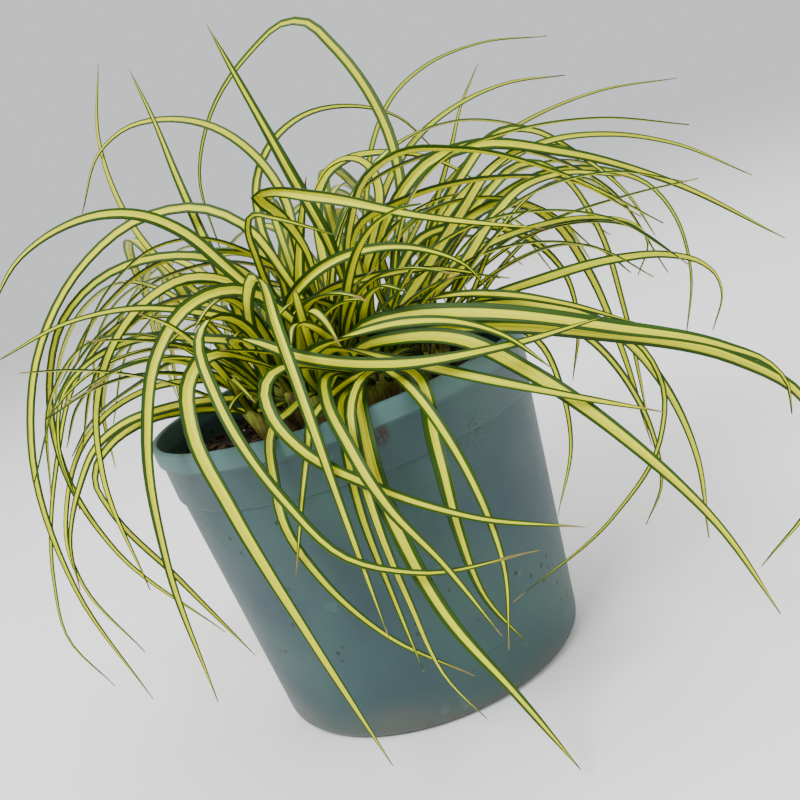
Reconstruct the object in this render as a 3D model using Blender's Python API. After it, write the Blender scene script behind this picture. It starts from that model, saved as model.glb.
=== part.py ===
"""A gold-striped sedge in its plastic nursery pot, at rest on its base.

The frame: origin at the middle of the pot's base on the floor, +Z up, -Y to the front.
Lengths in this file are millimetres until they are written to a mesh, which is in metres.
"""

import math
import random

import bmesh
import bpy
import numpy as np
from mathutils.bvhtree import BVHTree

# Driving sizes of the pot
METRES = 0.001
POT_HEIGHT = 115.0
RIM_RADIUS = 70.0
RIM_LIP = 1.6
RIM_BAND_BOTTOM = 108.5
LEDGE_HEIGHT = 94.5
LEDGE_STEP = 1.2
LEDGE_RADIUS = 67.6
HEEL_RADIUS = 57.5
HEEL_HEIGHT = 5.0
FOOT_RADIUS = 53.5
FOOT_WIDTH = 5.5
FOOT_RISE = 1.5
PAD_RADIUS = 18.0
WALL = 1.3
POT_SIDES = 40
DRAIN_HOLES = 8
DRAIN_RADIUS = 4.0
DRAIN_CIRCLE = 37.0

# Driving sizes of the soil and of the clump in it
GAP = 0.3
SOIL_TOP = 102.0
SOIL_SWELL = 1.6
SHOOT_PITCH = 12.2
CROWN_RADIUS = 34.0
CROWN_CENTRE = (4.0, -1.0)
SHEATH_DEPTH = 10.0
SHEATH_HEIGHT = 13.0
SHEATH_RADIUS = 3.3
SHEATH_TOP_RADIUS = 2.6
SHEATH_SIDES = 6
SHEATH_LEAN = 0.42

# Driving sizes of the leaves
LEAF_COUNT = 150
SEEN_WIDTH = 0.88
THICKNESS_TRIES = (0.9, 0.96, 1.02, 0.84, 1.08)
BLADE_THICKNESS = THICKNESS_TRIES[0]
SCRAP_FACES = 40
BLADE_ROOT_WIDTH = 3.0
CHANNEL_DEPTH = 0.24
ROOT_HEIGHT = 3.0
FLOOR_CLEARANCE = 4.0
POT_CLEARANCE = 3.2
SOIL_CLEARANCE = 5.0
LEAF_CLEARANCE = 0.55
TIGHTEST_BEND = 1.5
FUSED_LENGTH = 24.0
PATH_POINTS = 72
SHEATH_POINTS = 8
SEED = 20

# How strongly a blade's face turns towards the way it is given, at each step along it
READ_PULL = 0.12
GROWN_PULL = 0.05

# Added to a shoot's number to name the part of its leaves that keeps apart from its other leaves
OWN_FREE_PART = 1000

# The view that the leaf paths below were read in: an 800 px square, looking down a little, with
# the pot's top leaning to the left. Lengths in millimetres, angles in degrees.
VIEW_SIZE = 800
VIEW_FOCUS = 1092.0
VIEW_TARGET = (19.4, 0.0, 98.6)
VIEW_DISTANCE = 400.0
VIEW_DOWN = 12.5
VIEW_ROLL = 19.2

# Leaves read one by one. Each row: name, widest width in mm, how deep the leaf lies at even steps
# along it (Y in mm, minus is to the front), and its course in the 800 px view from root to tip.
LEAVES = (
    ("front_long", 6.2, (-46, -76, -92, -104, -112), (
        (362, 375), (361, 400), (368, 450), (377, 480), (388, 510), (415, 565), (435, 600),
        (460, 635), (490, 665), (520, 698), (550, 735), (580, 768), (584, 778))),
    ("right_sweep", 6.6, (-38, -60, -80, -98, -112), (
        (350, 350), (400, 338), (440, 335), (480, 343), (530, 372), (560, 393), (600, 418),
        (640, 450), (680, 485), (710, 515), (740, 550), (765, 580), (781, 614))),
    ("right_wide", 7.4, (-34, -54, -66, -78, -86), (
        (340, 338), (400, 316), (451, 311), (512, 315), (579, 323), (630, 329), (681, 336),
        (716, 343), (757, 355), (785, 368), (797, 386), (792, 414))),
    ("right_under", 6.4, (-40, -50, -62, -70, -66, -60), (
        (350, 345), (430, 330), (512, 326), (600, 334), (660, 340), (706, 350), (737, 357),
        (770, 372), (800, 390), (826, 424), (828, 470), (802, 525), (762, 566))),
    ("cross_fold", 6.4, (-30, -60, -66, -72, -76, -74), (
        (270, 372), (225, 340), (240, 335), (262, 346), (290, 357), (330, 363), (370, 366),
        (410, 364), (450, 357), (500, 348), (540, 338), (580, 325), (607, 316))),
    ("left_fold", 5.6, (-30, -62, -82, -90, -98, -104), (
        (290, 375), (240, 358), (200, 352), (186, 376), (184, 405), (190, 430), (205, 465),
        (250, 540), (300, 620), (355, 715), (393, 766))),
    ("mid_fold", 5.2, (-36, -64, -84, -92, -98), (
        (250, 330), (246, 290), (256, 264), (266, 290), (283, 350), (305, 405), (325, 455),
        (345, 520), (367, 585), (389, 638))),
    ("cross_low", 5.2, (-48, -66, -78, -84), (
        (300, 352), (350, 354), (400, 362), (440, 369), (480, 378), (520, 386), (560, 395),
        (600, 399), (665, 412))),
    ("cross_arch", 5.6, (-46, -64, -74, -80), (
        (300, 362), (345, 338), (380, 327), (420, 321), (460, 322), (500, 333), (530, 350),
        (552, 368))),
    ("cross_top", 5.0, (-20, -34, -44, -52), (
        (380, 330), (410, 305), (440, 297), (480, 294), (520, 296), (560, 302), (590, 312),
        (640, 324))),
    ("arch_front", 5.0, (-20, -30, -38, -42), (
        (283, 315), (300, 285), (330, 262), (360, 250), (400, 246), (430, 250), (462, 262),
        (482, 276), (490, 292))),
    ("arch_low", 4.2, (-14, -24, -32), (
        (285, 330), (310, 298), (340, 285), (370, 277), (400, 271), (430, 268), (475, 272),
        (500, 278))),
    ("high_fold", 5.6, (-4, -14, -30, -40, -46), (
        (318, 290), (305, 240), (275, 208), (243, 194), (280, 191), (320, 197), (360, 205),
        (400, 213), (440, 219), (480, 225), (545, 229))),
    ("dry_fold", 3.6, (-14, -26, -34), (
        (290, 320), (258, 262), (246, 210), (268, 216), (290, 225), (345, 238))),
    ("upright_left", 6.0, (-8, -10, -14), (
        (350, 300), (335, 255), (300, 190), (280, 155), (255, 110), (230, 65), (207, 25))),
    ("upright_right", 5.0, (10, 28, 44, 66, 84, 92), (
        (392, 270), (404, 200), (400, 155), (390, 130), (352, 76), (319, 25), (296, 9), (280, 20),
        (265, 38), (240, 61), (219, 94), (207, 120), (198, 153), (200, 199), (222, 255))),
    ("back_left_1", 4.6, (4, 18, 34), (
        (240, 315), (215, 262), (200, 230), (185, 195), (165, 150), (150, 110), (129, 69))),
    ("back_left_2", 3.2, (22, 54, 84), (
        (215, 305), (180, 280), (150, 250), (125, 215), (108, 175), (98, 140), (96, 100), (98, 64))),
    ("back_left_3", 4.6, (22, 40, 56, 70), (
        (300, 260), (280, 182), (260, 160), (235, 138), (205, 122), (175, 118), (140, 122),
        (115, 132), (98, 150), (88, 185), (82, 214))),
    ("back_arch_1", 4.2, (22, 40, 56, 70), (
        (280, 270), (256, 215), (255, 184), (263, 153), (273, 138), (306, 112), (340, 105),
        (383, 110), (415, 125), (435, 150))),
    ("back_arch_2", 5.6, (8, 22, 34), (
        (362, 310), (365, 270), (376, 230), (380, 190), (370, 163), (345, 156), (322, 172),
        (312, 195))),
    ("back_arch_3", 5.0, (14, 30, 44), (
        (330, 280), (316, 215), (322, 178), (345, 158), (380, 152), (415, 154), (450, 164),
        (480, 182))),
    ("upright_mid", 6.0, (-10, -12, -12), (
        (302, 340), (300, 290), (300, 240), (302, 210), (306, 176))),
    ("left_high", 5.4, (-12, -18, -24, -30), (
        (290, 335), (235, 277), (200, 242), (150, 216), (110, 212), (60, 228), (20, 255),
        (0, 288), (-12, 316))),
    ("left_long", 5.0, (-4, 10, 18, 14, 4, -6), (
        (300, 300), (240, 213), (205, 203), (150, 212), (120, 225), (90, 252), (60, 300),
        (40, 340), (28, 400), (28, 430), (38, 490), (57, 545), (80, 600), (100, 640), (153, 699))),
    ("left_olive", 4.4, (6, 16, 20, 16, 10), (
        (280, 300), (240, 264), (200, 255), (165, 253), (110, 270), (80, 290), (60, 320),
        (50, 350), (48, 385), (55, 440), (75, 500), (100, 535), (140, 575), (170, 598),
        (225, 632))),
    ("left_level", 3.4, (-20, -28, -36), (
        (280, 335), (240, 322), (200, 312), (160, 309), (120, 309), (80, 318), (40, 335),
        (-8, 364))),
    ("left_gold", 4.2, (-10, 2, 10, 14), (
        (270, 352), (230, 345), (190, 336), (150, 335), (110, 350), (80, 368), (62, 392),
        (57, 420), (58, 445), (70, 490), (80, 510))),
    ("left_front", 5.2, (-18, -46, -56, -60, -62), (
        (290, 320), (260, 290), (215, 288), (190, 300), (175, 313), (162, 335), (152, 365),
        (147, 400), (146, 440), (150, 480), (157, 520), (165, 555), (175, 595), (190, 635),
        (218, 702))),
    ("left_side", 4.4, (-6, -12, -14, -16), (
        (285, 325), (220, 275), (185, 275), (165, 285), (140, 305), (120, 328), (102, 375),
        (94, 430), (98, 460), (115, 510), (150, 590))),
    ("left_curl", 4.6, (-34, -66, -86, -94, -94, -90), (
        (265, 345), (225, 312), (198, 316), (196, 342), (202, 365), (215, 395), (235, 435),
        (275, 490), (300, 520), (325, 548), (345, 563), (400, 574), (440, 573), (490, 566),
        (540, 550))),
    ("low_left_1", 5.0, (-8, 8, 14, 12), (
        (285, 400), (220, 400), (160, 410), (130, 420), (100, 440), (85, 470), (75, 505),
        (70, 560), (80, 590))),
    ("low_left_2", 4.6, (-12, 2, 20, 34, 44), (
        (290, 408), (220, 408), (150, 418), (108, 446), (90, 480), (120, 520), (160, 560),
        (200, 600), (255, 655))),
    ("low_left_3", 3.4, (10, 40, 50, 46), (
        (260, 330), (180, 300), (110, 330), (66, 400), (56, 480), (54, 560), (55, 610),
        (75, 655), (115, 686))),
    ("low_left_4", 3.4, (0, 24, 30, 24), (
        (270, 385), (200, 380), (130, 396), (84, 440), (66, 510), (72, 570), (95, 600),
        (145, 652))),
    ("front_cross", 4.8, (-52, -78, -88, -90, -86), (
        (280, 364), (262, 380), (260, 395), (268, 412), (285, 437), (305, 455), (330, 468),
        (358, 482), (400, 495), (430, 505), (480, 520), (585, 527))),
    ("front_mid", 4.8, (-48, -78, -88, -94), (
        (322, 372), (325, 398), (335, 420), (350, 448), (365, 475), (385, 505), (410, 530),
        (440, 560), (470, 595), (502, 636))),
    ("front_curve", 3.8, (-46, -74, -82, -86), (
        (312, 388), (298, 402), (285, 420), (277, 440), (274, 465), (274, 490), (280, 515),
        (290, 540), (320, 578), (345, 604), (370, 625), (420, 655), (475, 676))),
    ("front_dry", 3.6, (-56, -78, -82), (
        (338, 388), (322, 408), (308, 445), (304, 480), (300, 520), (296, 577))),
    ("front_pair_1", 3.8, (-58, -78, -84, -88), (
        (345, 392), (345, 440), (352, 480), (360, 510), (372, 545), (385, 580), (400, 610),
        (412, 635), (424, 672))),
    ("front_pair_2", 3.6, (-58, -80, -88, -92), (
        (352, 388), (352, 430), (364, 480), (378, 525), (398, 580), (430, 640), (440, 668),
        (460, 700), (487, 719))),
    ("front_wide", 6.0, (-44, -74, -82, -84), (
        (402, 368), (416, 386), (426, 410), (442, 470), (458, 530), (468, 560), (480, 590),
        (505, 625), (527, 643))),
    ("front_right", 4.2, (-50, -78, -88, -90), (
        (385, 370), (410, 390), (430, 412), (450, 440), (465, 465), (490, 520), (500, 550),
        (508, 580), (511, 610), (509, 650))),
    ("right_thin", 2.4, (-30, -34, -50, -70, -84), (
        (440, 330), (520, 318), (600, 322), (650, 350), (668, 400), (662, 440), (647, 474),
        (604, 528), (579, 556), (513, 602))),
    ("right_hang", 3.0, (-26, -40, -52), (
        (430, 320), (490, 318), (535, 335), (555, 370), (568, 410), (572, 440), (568, 475),
        (558, 516))),
    ("far_thin_1", 2.8, (60, 92, 116), (
        (365, 230), (370, 150), (385, 108), (400, 84), (430, 62), (470, 45), (510, 37), (547, 36))),
    ("far_thin_2", 3.6, (34, 60, 90), (
        (375, 240), (385, 190), (402, 155), (430, 125), (460, 103), (490, 88), (530, 78),
        (565, 75))),
    ("far_thin_3", 3.2, (50, 70, 84), (
        (425, 240), (440, 190), (452, 145), (462, 100), (478, 63))),
    ("far_thin_4", 2.8, (60, 90, 120), (
        (420, 220), (470, 158), (530, 118), (560, 105), (600, 90), (640, 82), (677, 78))),
    ("right_high", 5.6, (-6, 2, 8, 14, 22), (
        (370, 280), (385, 225), (400, 190), (420, 165), (440, 150), (470, 144), (510, 145),
        (550, 150), (590, 157), (640, 170), (690, 190), (740, 215), (785, 238))),
    ("right_back", 4.2, (20, 44, 62, 78), (
        (430, 240), (470, 190), (520, 150), (560, 138), (600, 134), (650, 137), (700, 152),
        (752, 175))),
    ("right_arch_1", 5.2, (16, 40, 56, 66), (
        (420, 270), (450, 200), (478, 148), (500, 128), (520, 125), (545, 135), (580, 155),
        (610, 180), (640, 205), (655, 235))),
    ("right_arch_2", 4.8, (20, 42, 54, 60), (
        (440, 260), (490, 190), (520, 158), (545, 160), (575, 188), (600, 230), (615, 275),
        (625, 310), (634, 360), (650, 430))),
    ("right_arch_3", 4.2, (30, 58, 74, 84), (
        (450, 250), (500, 195), (560, 168), (620, 172), (660, 190), (680, 225), (690, 262),
        (694, 290), (686, 340))),
    ("right_mid_1", 5.0, (-12, -4, 10, 24), (
        (440, 320), (480, 304), (510, 292), (545, 278), (590, 265), (640, 255), (690, 257),
        (715, 270), (725, 290), (713, 330))),
    ("right_mid_2", 3.8, (-8, 6, 18), (
        (430, 285), (470, 255), (515, 232), (560, 223), (600, 217), (640, 225), (652, 238),
        (638, 275))),
    ("right_mid_3", 4.8, (4, 14, 22, 26), (
        (400, 270), (420, 235), (470, 225), (520, 232), (545, 250), (565, 270), (575, 300),
        (580, 340), (573, 380))),
    ("right_fall_1", 4.4, (-16, -6, 2, 6), (
        (430, 322), (480, 308), (540, 312), (589, 337), (617, 370), (640, 400), (651, 431),
        (663, 469), (660, 502), (646, 525))),
    ("right_fall_2", 5.8, (-22, -24, -20, -16), (
        (420, 328), (480, 306), (560, 308), (605, 324), (645, 357), (663, 383), (673, 408),
        (688, 433), (701, 466), (707, 494), (709, 538))),
    ("right_fall_3", 5.4, (8, 22, 26, 24), (
        (420, 290), (460, 225), (500, 200), (535, 206), (563, 230), (579, 255), (604, 301),
        (624, 357), (640, 410), (652, 445))),
    ("fan_right_1", 5.6, (-6, 4, 12), (
        (395, 320), (425, 270), (455, 225), (480, 180), (515, 150), (560, 146), (600, 158))),
    ("fan_right_2", 5.6, (-14, -8, 0), (
        (430, 300), (462, 268), (480, 243), (500, 205), (530, 182), (570, 172), (625, 176))),
)


# Outline that the leaves grown by rule keep to, in the same view
OUTLINE = (
    (205, 150), (270, 110), (340, 95), (420, 105), (480, 70), (560, 75), (640, 90), (700, 140),
    (735, 200), (722, 320), (700, 390), (690, 500), (655, 520), (622, 440), (590, 410),
    (545, 400), (578, 600), (530, 690), (400, 730), (300, 715), (245, 600), (200, 635),
    (120, 655), (60, 590), (32, 480), (28, 380), (52, 290), (100, 222), (150, 200), (128, 95),
    (152, 85), (190, 140))
GROWN_WIDTHS = (3.2, 3.8, 4.4, 5.0, 5.6)
GROWN_SECTIONS = 6


# Materials and small helpers
def material(name, colour, roughness):
    mat = bpy.data.materials.new(name)
    mat.use_nodes = True
    shader = mat.node_tree.nodes["Principled BSDF"]
    shader.inputs["Base Color"].default_value = (*colour, 1.0)
    shader.inputs["Roughness"].default_value = roughness
    shader.inputs["Metallic"].default_value = 0.0
    mat.diffuse_color = (*colour, 1.0)
    return mat


def mesh_object(name, verts, faces, mat, collection=None):
    """A closed mesh from millimetre points, with its faces turned outward."""
    mesh = bpy.data.meshes.new(name)
    mesh.from_pydata([tuple(c * METRES for c in v) for v in verts], [], faces)
    shape = bmesh.new()
    shape.from_mesh(mesh)
    bmesh.ops.recalc_face_normals(shape, faces=shape.faces[:])
    shape.to_mesh(mesh)
    shape.free()
    mesh.materials.append(mat)
    obj = bpy.data.objects.new(name, mesh)
    (collection or bpy.context.scene.collection).objects.link(obj)
    return obj


def unit(v):
    return v / np.linalg.norm(v)


def apply_modifiers(obj):
    bpy.context.view_layer.objects.active = obj
    for modifier in list(obj.modifiers):
        with bpy.context.temp_override(object=obj, active_object=obj):
            bpy.ops.object.modifier_apply(modifier=modifier.name)


def boolean(obj, collection, operation, solver="EXACT"):
    """One Boolean on a collection, applied, after which its objects are removed."""
    cut = obj.modifiers.new("join", "BOOLEAN")
    cut.operation = operation
    cut.operand_type = "COLLECTION"
    cut.collection = collection
    cut.solver = solver
    apply_modifiers(obj)
    for other in list(collection.objects):
        bpy.data.objects.remove(other, do_unlink=True)
    bpy.data.collections.remove(collection)


def keep_main_body(obj):
    """Fills the pockets that fusing seals and drops loose scraps: only the largest shell stays.

    Returns how many faces went.
    """
    shape = bmesh.new()
    shape.from_mesh(obj.data)
    bmesh.ops.triangulate(shape, faces=shape.faces[:], quad_method="BEAUTY", ngon_method="BEAUTY")
    seen = set()
    shells = []
    for start in shape.faces:
        if start in seen:
            continue
        shell = {start}
        border = [start]
        while border:
            for edge in border.pop().edges:
                for other in edge.link_faces:
                    if other not in shell:
                        shell.add(other)
                        border.append(other)
        seen |= shell
        shells.append(shell)
    largest = max(shells, key=len)
    spare = [face for shell in shells if shell is not largest for face in shell]
    bmesh.ops.delete(shape, geom=spare, context="FACES")
    shape.to_mesh(obj.data)
    shape.free()
    return len(spare)


def sound(obj):
    """True where every edge has two faces, also once points closer than a micron are one."""
    spots = np.array([tuple(v.co) for v in obj.data.vertices]) / METRES
    _, same = np.unique(np.round(spots, 3), axis=0, return_inverse=True)
    same = same.reshape(-1)
    used = {}
    for face in obj.data.polygons:
        ring = [same[k] for k in face.vertices]
        for a, b in zip(ring, ring[1:] + ring[:1]):
            if a != b:
                used[(a, b)] = used.get((a, b), 0) + 1
    return all(n == 1 and used.get((b, a)) == 1 for (a, b), n in used.items())


def helper_collection(name):
    collection = bpy.data.collections.new(name)
    bpy.context.scene.collection.children.link(collection)
    return collection


# The pot
def pot_profile():
    """Half section as (radius, height): outside from the middle of the base up, then down inside."""
    top = POT_HEIGHT
    outer = [
        (0.0, 0.0),
        (PAD_RADIUS, 0.0),
        (PAD_RADIUS + FOOT_RISE, FOOT_RISE),
        (FOOT_RADIUS - FOOT_WIDTH - FOOT_RISE, FOOT_RISE),
        (FOOT_RADIUS - FOOT_WIDTH, 0.0),
        (FOOT_RADIUS, 0.0),
        (HEEL_RADIUS - 0.9, HEEL_HEIGHT * 0.45),
        (HEEL_RADIUS, HEEL_HEIGHT),
        (LEDGE_RADIUS - LEDGE_STEP, LEDGE_HEIGHT - LEDGE_STEP),
        (LEDGE_RADIUS, LEDGE_HEIGHT),
        (RIM_RADIUS - RIM_LIP, RIM_BAND_BOTTOM - 0.4),
        (RIM_RADIUS - 0.3, RIM_BAND_BOTTOM),
        (RIM_RADIUS, top - 1.0),
        (RIM_RADIUS - 0.7, top),
    ]
    floor = FOOT_RISE + WALL
    inner = [
        (RIM_RADIUS - 1.6, top),
        (RIM_RADIUS - 2.2, top - 1.0),
        (RIM_RADIUS - RIM_LIP - WALL, RIM_BAND_BOTTOM - 1.0),
        (LEDGE_RADIUS - WALL, LEDGE_HEIGHT + 0.6),
        (LEDGE_RADIUS - LEDGE_STEP - WALL, LEDGE_HEIGHT - LEDGE_STEP + 0.6),
        (HEEL_RADIUS - WALL, HEEL_HEIGHT + 0.8),
        (FOOT_RADIUS - 0.6, floor),
        (0.0, floor),
    ]
    return outer, inner


def turned(name, profile, sides, mat):
    """A body of revolution: the profile starts and ends on the axis."""
    verts = []
    rings = []
    for radius, height in profile:
        if radius == 0.0:
            rings.append([len(verts)])
            verts.append((0.0, 0.0, height))
            continue
        ring = []
        for k in range(sides):
            turn = 2 * math.pi * k / sides
            ring.append(len(verts))
            verts.append((radius * math.cos(turn), radius * math.sin(turn), height))
        rings.append(ring)
    faces = []
    for low, high in zip(rings, rings[1:]):
        for k in range(sides):
            n = (k + 1) % sides
            if len(low) == 1:
                faces.append((low[0], high[n], high[k]))
            elif len(high) == 1:
                faces.append((low[k], low[n], high[0]))
            else:
                faces.append((low[k], low[n], high[n], high[k]))
    return mesh_object(name, verts, faces, mat)


def prism(name, centre, radius, low, high, sides, collection):
    verts = []
    for z in (low, high):
        for k in range(sides):
            turn = 2 * math.pi * k / sides
            verts.append((centre[0] + radius * math.cos(turn), centre[1] + radius * math.sin(turn), z))
    faces = [tuple(range(sides)), tuple(range(sides, 2 * sides))]
    for k in range(sides):
        n = (k + 1) % sides
        faces.append((k, n, sides + n, sides + k))
    cutter = mesh_object(name, verts, faces, CUTTER, collection)
    cutter.hide_render = True
    cutter.display_type = "WIRE"
    return cutter


def make_pot():
    outer, inner = pot_profile()
    pot = turned("pot", outer + inner, POT_SIDES, material("pot_plastic", (0.13, 0.25, 0.26), 0.5))
    drains = helper_collection("drains")
    for k in range(DRAIN_HOLES):
        turn = 2 * math.pi * (k + 0.5) / DRAIN_HOLES
        centre = (DRAIN_CIRCLE * math.cos(turn), DRAIN_CIRCLE * math.sin(turn))
        prism("drain_cutter", centre, DRAIN_RADIUS, -2.0, 2 + FOOT_RISE + WALL, 8, drains)
    boolean(pot, drains, "DIFFERENCE")
    return pot


# The soil
def soil_height(x, y):
    """The uneven top of the potting mix."""
    swell = math.sin(x / 9.0 + 0.6) * math.cos(y / 11.0 - 0.3) + 0.5 * math.sin((x - 1.7 * y) / 7.0)
    return SOIL_TOP + SOIL_SWELL * swell * 0.6


def make_soil(shoots):
    inner = pot_profile()[1]
    side = []
    for radius, height in reversed(inner[3:]):
        side.append((max(radius - GAP, 0.0), height + (GAP if height < 10 else 0.0)))
    edge = LEDGE_RADIUS - WALL - GAP + 0.3
    profile = side + [(edge, SOIL_TOP)]
    for step in (0.76, 0.5, 0.25, 0.0):
        profile.append((edge * step, SOIL_TOP))
    soil = turned("soil", profile, POT_SIDES, material("potting_mix", (0.022, 0.014, 0.009), 0.95))
    for vert in soil.data.vertices:
        x, y, z = (c / METRES for c in vert.co)
        if z > SOIL_TOP - 0.01:
            vert.co.z = soil_height(x, y) * METRES
    holes = helper_collection("planting_holes")
    for x, y, _ in shoots:
        low = soil_height(x, y) - SHEATH_DEPTH - GAP
        radius = SHEATH_RADIUS + GAP / math.cos(math.pi / SHEATH_SIDES)
        prism("hole_cutter", (x, y), radius, low, SOIL_TOP + 12, SHEATH_SIDES, holes)
    boolean(soil, holes, "DIFFERENCE")
    return soil


# Where the shoots stand
def shoot_places(rng):
    """Shoots on a loose hexagonal grid, each as (x, y, lean outward from the crown's middle)."""
    places = []
    reach = int(CROWN_RADIUS / SHOOT_PITCH) + 2
    for row in range(-reach, reach + 1):
        for col in range(-reach, reach + 1):
            x = (col + 0.5 * (row % 2)) * SHOOT_PITCH + rng.uniform(-1.4, 1.4)
            y = row * SHOOT_PITCH * 0.866 + rng.uniform(-1.4, 1.4)
            if math.hypot(x, y) < CROWN_RADIUS:
                lean = SHEATH_LEAN * math.hypot(x, y) / CROWN_RADIUS
                places.append((x + CROWN_CENTRE[0], y + CROWN_CENTRE[1], lean))
    return places


def sheath_axis(shoot):
    """Foot, soil point and top of a shoot's sheath, and the way its top leans."""
    x, y, lean = shoot
    out = np.array([x - CROWN_CENTRE[0], y - CROWN_CENTRE[1], 0.0])
    out = out / max(np.linalg.norm(out), 1e-6)
    ground = soil_height(x, y)
    foot = np.array([x, y, ground - SHEATH_DEPTH])
    collar = np.array([x, y, ground + 1.5])
    along = out * math.sin(lean) + np.array([0.0, 0.0, math.cos(lean)])
    return foot, collar, collar + along * SHEATH_HEIGHT, along


def sheath_mesh(shoot):
    foot, collar, top, _ = sheath_axis(shoot)
    verts = []
    for centre, radius in ((foot, SHEATH_RADIUS), (collar, SHEATH_RADIUS), (top, SHEATH_TOP_RADIUS)):
        for k in range(SHEATH_SIDES):
            turn = 2 * math.pi * k / SHEATH_SIDES
            spoke = np.array([math.cos(turn), math.sin(turn), 0.0])
            verts.append(centre + radius * spoke)
    faces = [tuple(range(SHEATH_SIDES)), tuple(range(2 * SHEATH_SIDES, 3 * SHEATH_SIDES))]
    for level in range(2):
        for k in range(SHEATH_SIDES):
            n = (k + 1) % SHEATH_SIDES
            a = level * SHEATH_SIDES
            faces.append((a + k, a + n, a + SHEATH_SIDES + n, a + SHEATH_SIDES + k))
    return verts, faces


# The view that the courses were read in
def view_axes():
    down = math.radians(VIEW_DOWN)
    roll = math.radians(VIEW_ROLL)
    back = np.array([0.0, -math.cos(down), math.sin(down)])
    level = np.array([1.0, 0.0, 0.0])
    rise = np.array([0.0, math.sin(down), math.cos(down)])
    right = level * math.cos(roll) - rise * math.sin(roll)
    up = level * math.sin(roll) + rise * math.cos(roll)
    return right, up, back


RIGHT, UP, BACK = view_axes()
EYE = np.array(VIEW_TARGET) + BACK * VIEW_DISTANCE


def from_view(px, py, depth):
    """The point seen at (px, py) that lies on the upright plane Y = depth."""
    half = VIEW_SIZE / 2
    ray = RIGHT * (px - half) / VIEW_FOCUS - UP * (py - half) / VIEW_FOCUS - BACK
    return EYE + ray * (depth - EYE[1]) / ray[1]


def to_view(point):
    """Where a point is seen."""
    away = point - EYE
    depth = -away.dot(BACK)
    half = VIEW_SIZE / 2
    return half + VIEW_FOCUS * away.dot(RIGHT) / depth, half - VIEW_FOCUS * away.dot(UP) / depth


def inside(outline, px, py):
    """Even-odd test of a point against a closed outline."""
    within = False
    for (ax, ay), (bx, by) in zip(outline, outline[1:] + outline[:1]):
        if (ay > py) != (by > py) and px < ax + (py - ay) / (by - ay) * (bx - ax):
            within = not within
    return within


def keeps_to_outline(line):
    """True where a grown leaf stays in the clump's outline and off the front of the pot."""
    for point in line[8::4]:
        if not inside(OUTLINE, *to_view(point)):
            return False
        beside = math.hypot(point[0], point[1]) > RIM_RADIUS - 8
        in_front = point[1] < -20
        if in_front and beside and point[2] < POT_HEIGHT + 4:
            return False
    return True


# Courses of the leaves
def even_steps(points, count):
    """The same line, cut into even steps."""
    steps = np.linalg.norm(np.diff(points, axis=0), axis=1)
    along = np.concatenate([[0.0], np.cumsum(steps)])
    wanted = np.linspace(0.0, along[-1], count)
    return np.stack([np.interp(wanted, along, points[:, k]) for k in range(3)], axis=1)


def through(points):
    """A centripetal Catmull-Rom curve through the points."""
    points = [np.asarray(p, float) for p in points]
    line = [2 * points[0] - points[1]] + points + [2 * points[-1] - points[-2]]
    curve = []
    for p0, p1, p2, p3 in zip(line, line[1:], line[2:], line[3:]):
        t1 = math.sqrt(np.linalg.norm(p1 - p0)) + 1e-6
        t2 = t1 + math.sqrt(np.linalg.norm(p2 - p1)) + 1e-6
        t3 = t2 + math.sqrt(np.linalg.norm(p3 - p2)) + 1e-6
        for t in np.linspace(t1, t2, 10, endpoint=False):
            a1 = p0 * (t1 - t) / t1 + p1 * t / t1
            a2 = p1 * (t2 - t) / (t2 - t1) + p2 * (t - t1) / (t2 - t1)
            a3 = p2 * (t3 - t) / (t3 - t2) + p3 * (t - t2) / (t3 - t2)
            b1 = a1 * (t2 - t) / t2 + a2 * t / t2
            b2 = a2 * (t3 - t) / (t3 - t1) + a3 * (t - t1) / (t3 - t1)
            curve.append(b1 * (t2 - t) / (t2 - t1) + b2 * (t - t1) / (t2 - t1))
    curve.append(points[-1])
    return np.array(curve)


def softened(points, passes):
    """The line with its kinks eased and its two ends kept."""
    for _ in range(passes):
        inner = (points[:-2] + 2 * points[1:-1] + points[2:]) / 4
        points = np.concatenate([points[:1], inner, points[-1:]])
    return points


def read_course(depths, course):
    """The seen course of a leaf as points in space."""
    flat = np.array(course, float)
    steps = np.linalg.norm(np.diff(flat, axis=0), axis=1)
    along = np.concatenate([[0.0], np.cumsum(steps)]) / steps.sum()
    depth = np.interp(along, np.linspace(0.0, 1.0, len(depths)), depths)
    return [from_view(px, py, d) for (px, py), d in zip(course, depth)]


def sections_for(line):
    """How many sections a read leaf gets: more where it turns more, as seen from the front."""
    rise, run = np.diff(line, axis=0)[:, [2, 0]].T
    turned_by = np.abs(np.diff(np.unwrap(np.arctan2(rise, run)))).sum()
    return int(min(10, max(7, 5 + turned_by * 1.4)))


def tightest_bend(line):
    """The smallest radius that a line turns through."""
    steps = np.diff(line, axis=0)
    lengths = np.linalg.norm(steps, axis=1)
    ways = steps / lengths[:, None]
    turns = np.arccos(np.clip((ways[1:] * ways[:-1]).sum(axis=1), -1, 1))
    return ((lengths[1:] + lengths[:-1]) / 2 / np.maximum(turns, 1e-9)).min()


def rooted(shoot, seen):
    """A course that starts inside the shoot's sheath and goes on through the seen points."""
    _, collar, top, along = sheath_axis(shoot)
    low_start = seen[0][2] < top[2] + 4.0
    second = SHEATH_HEIGHT / 2 if low_start else SHEATH_HEIGHT - 1.0
    lead = [collar + along * ROOT_HEIGHT, collar + along * second]
    return softened(even_steps(through(lead + seen), PATH_POINTS), 3)


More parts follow.
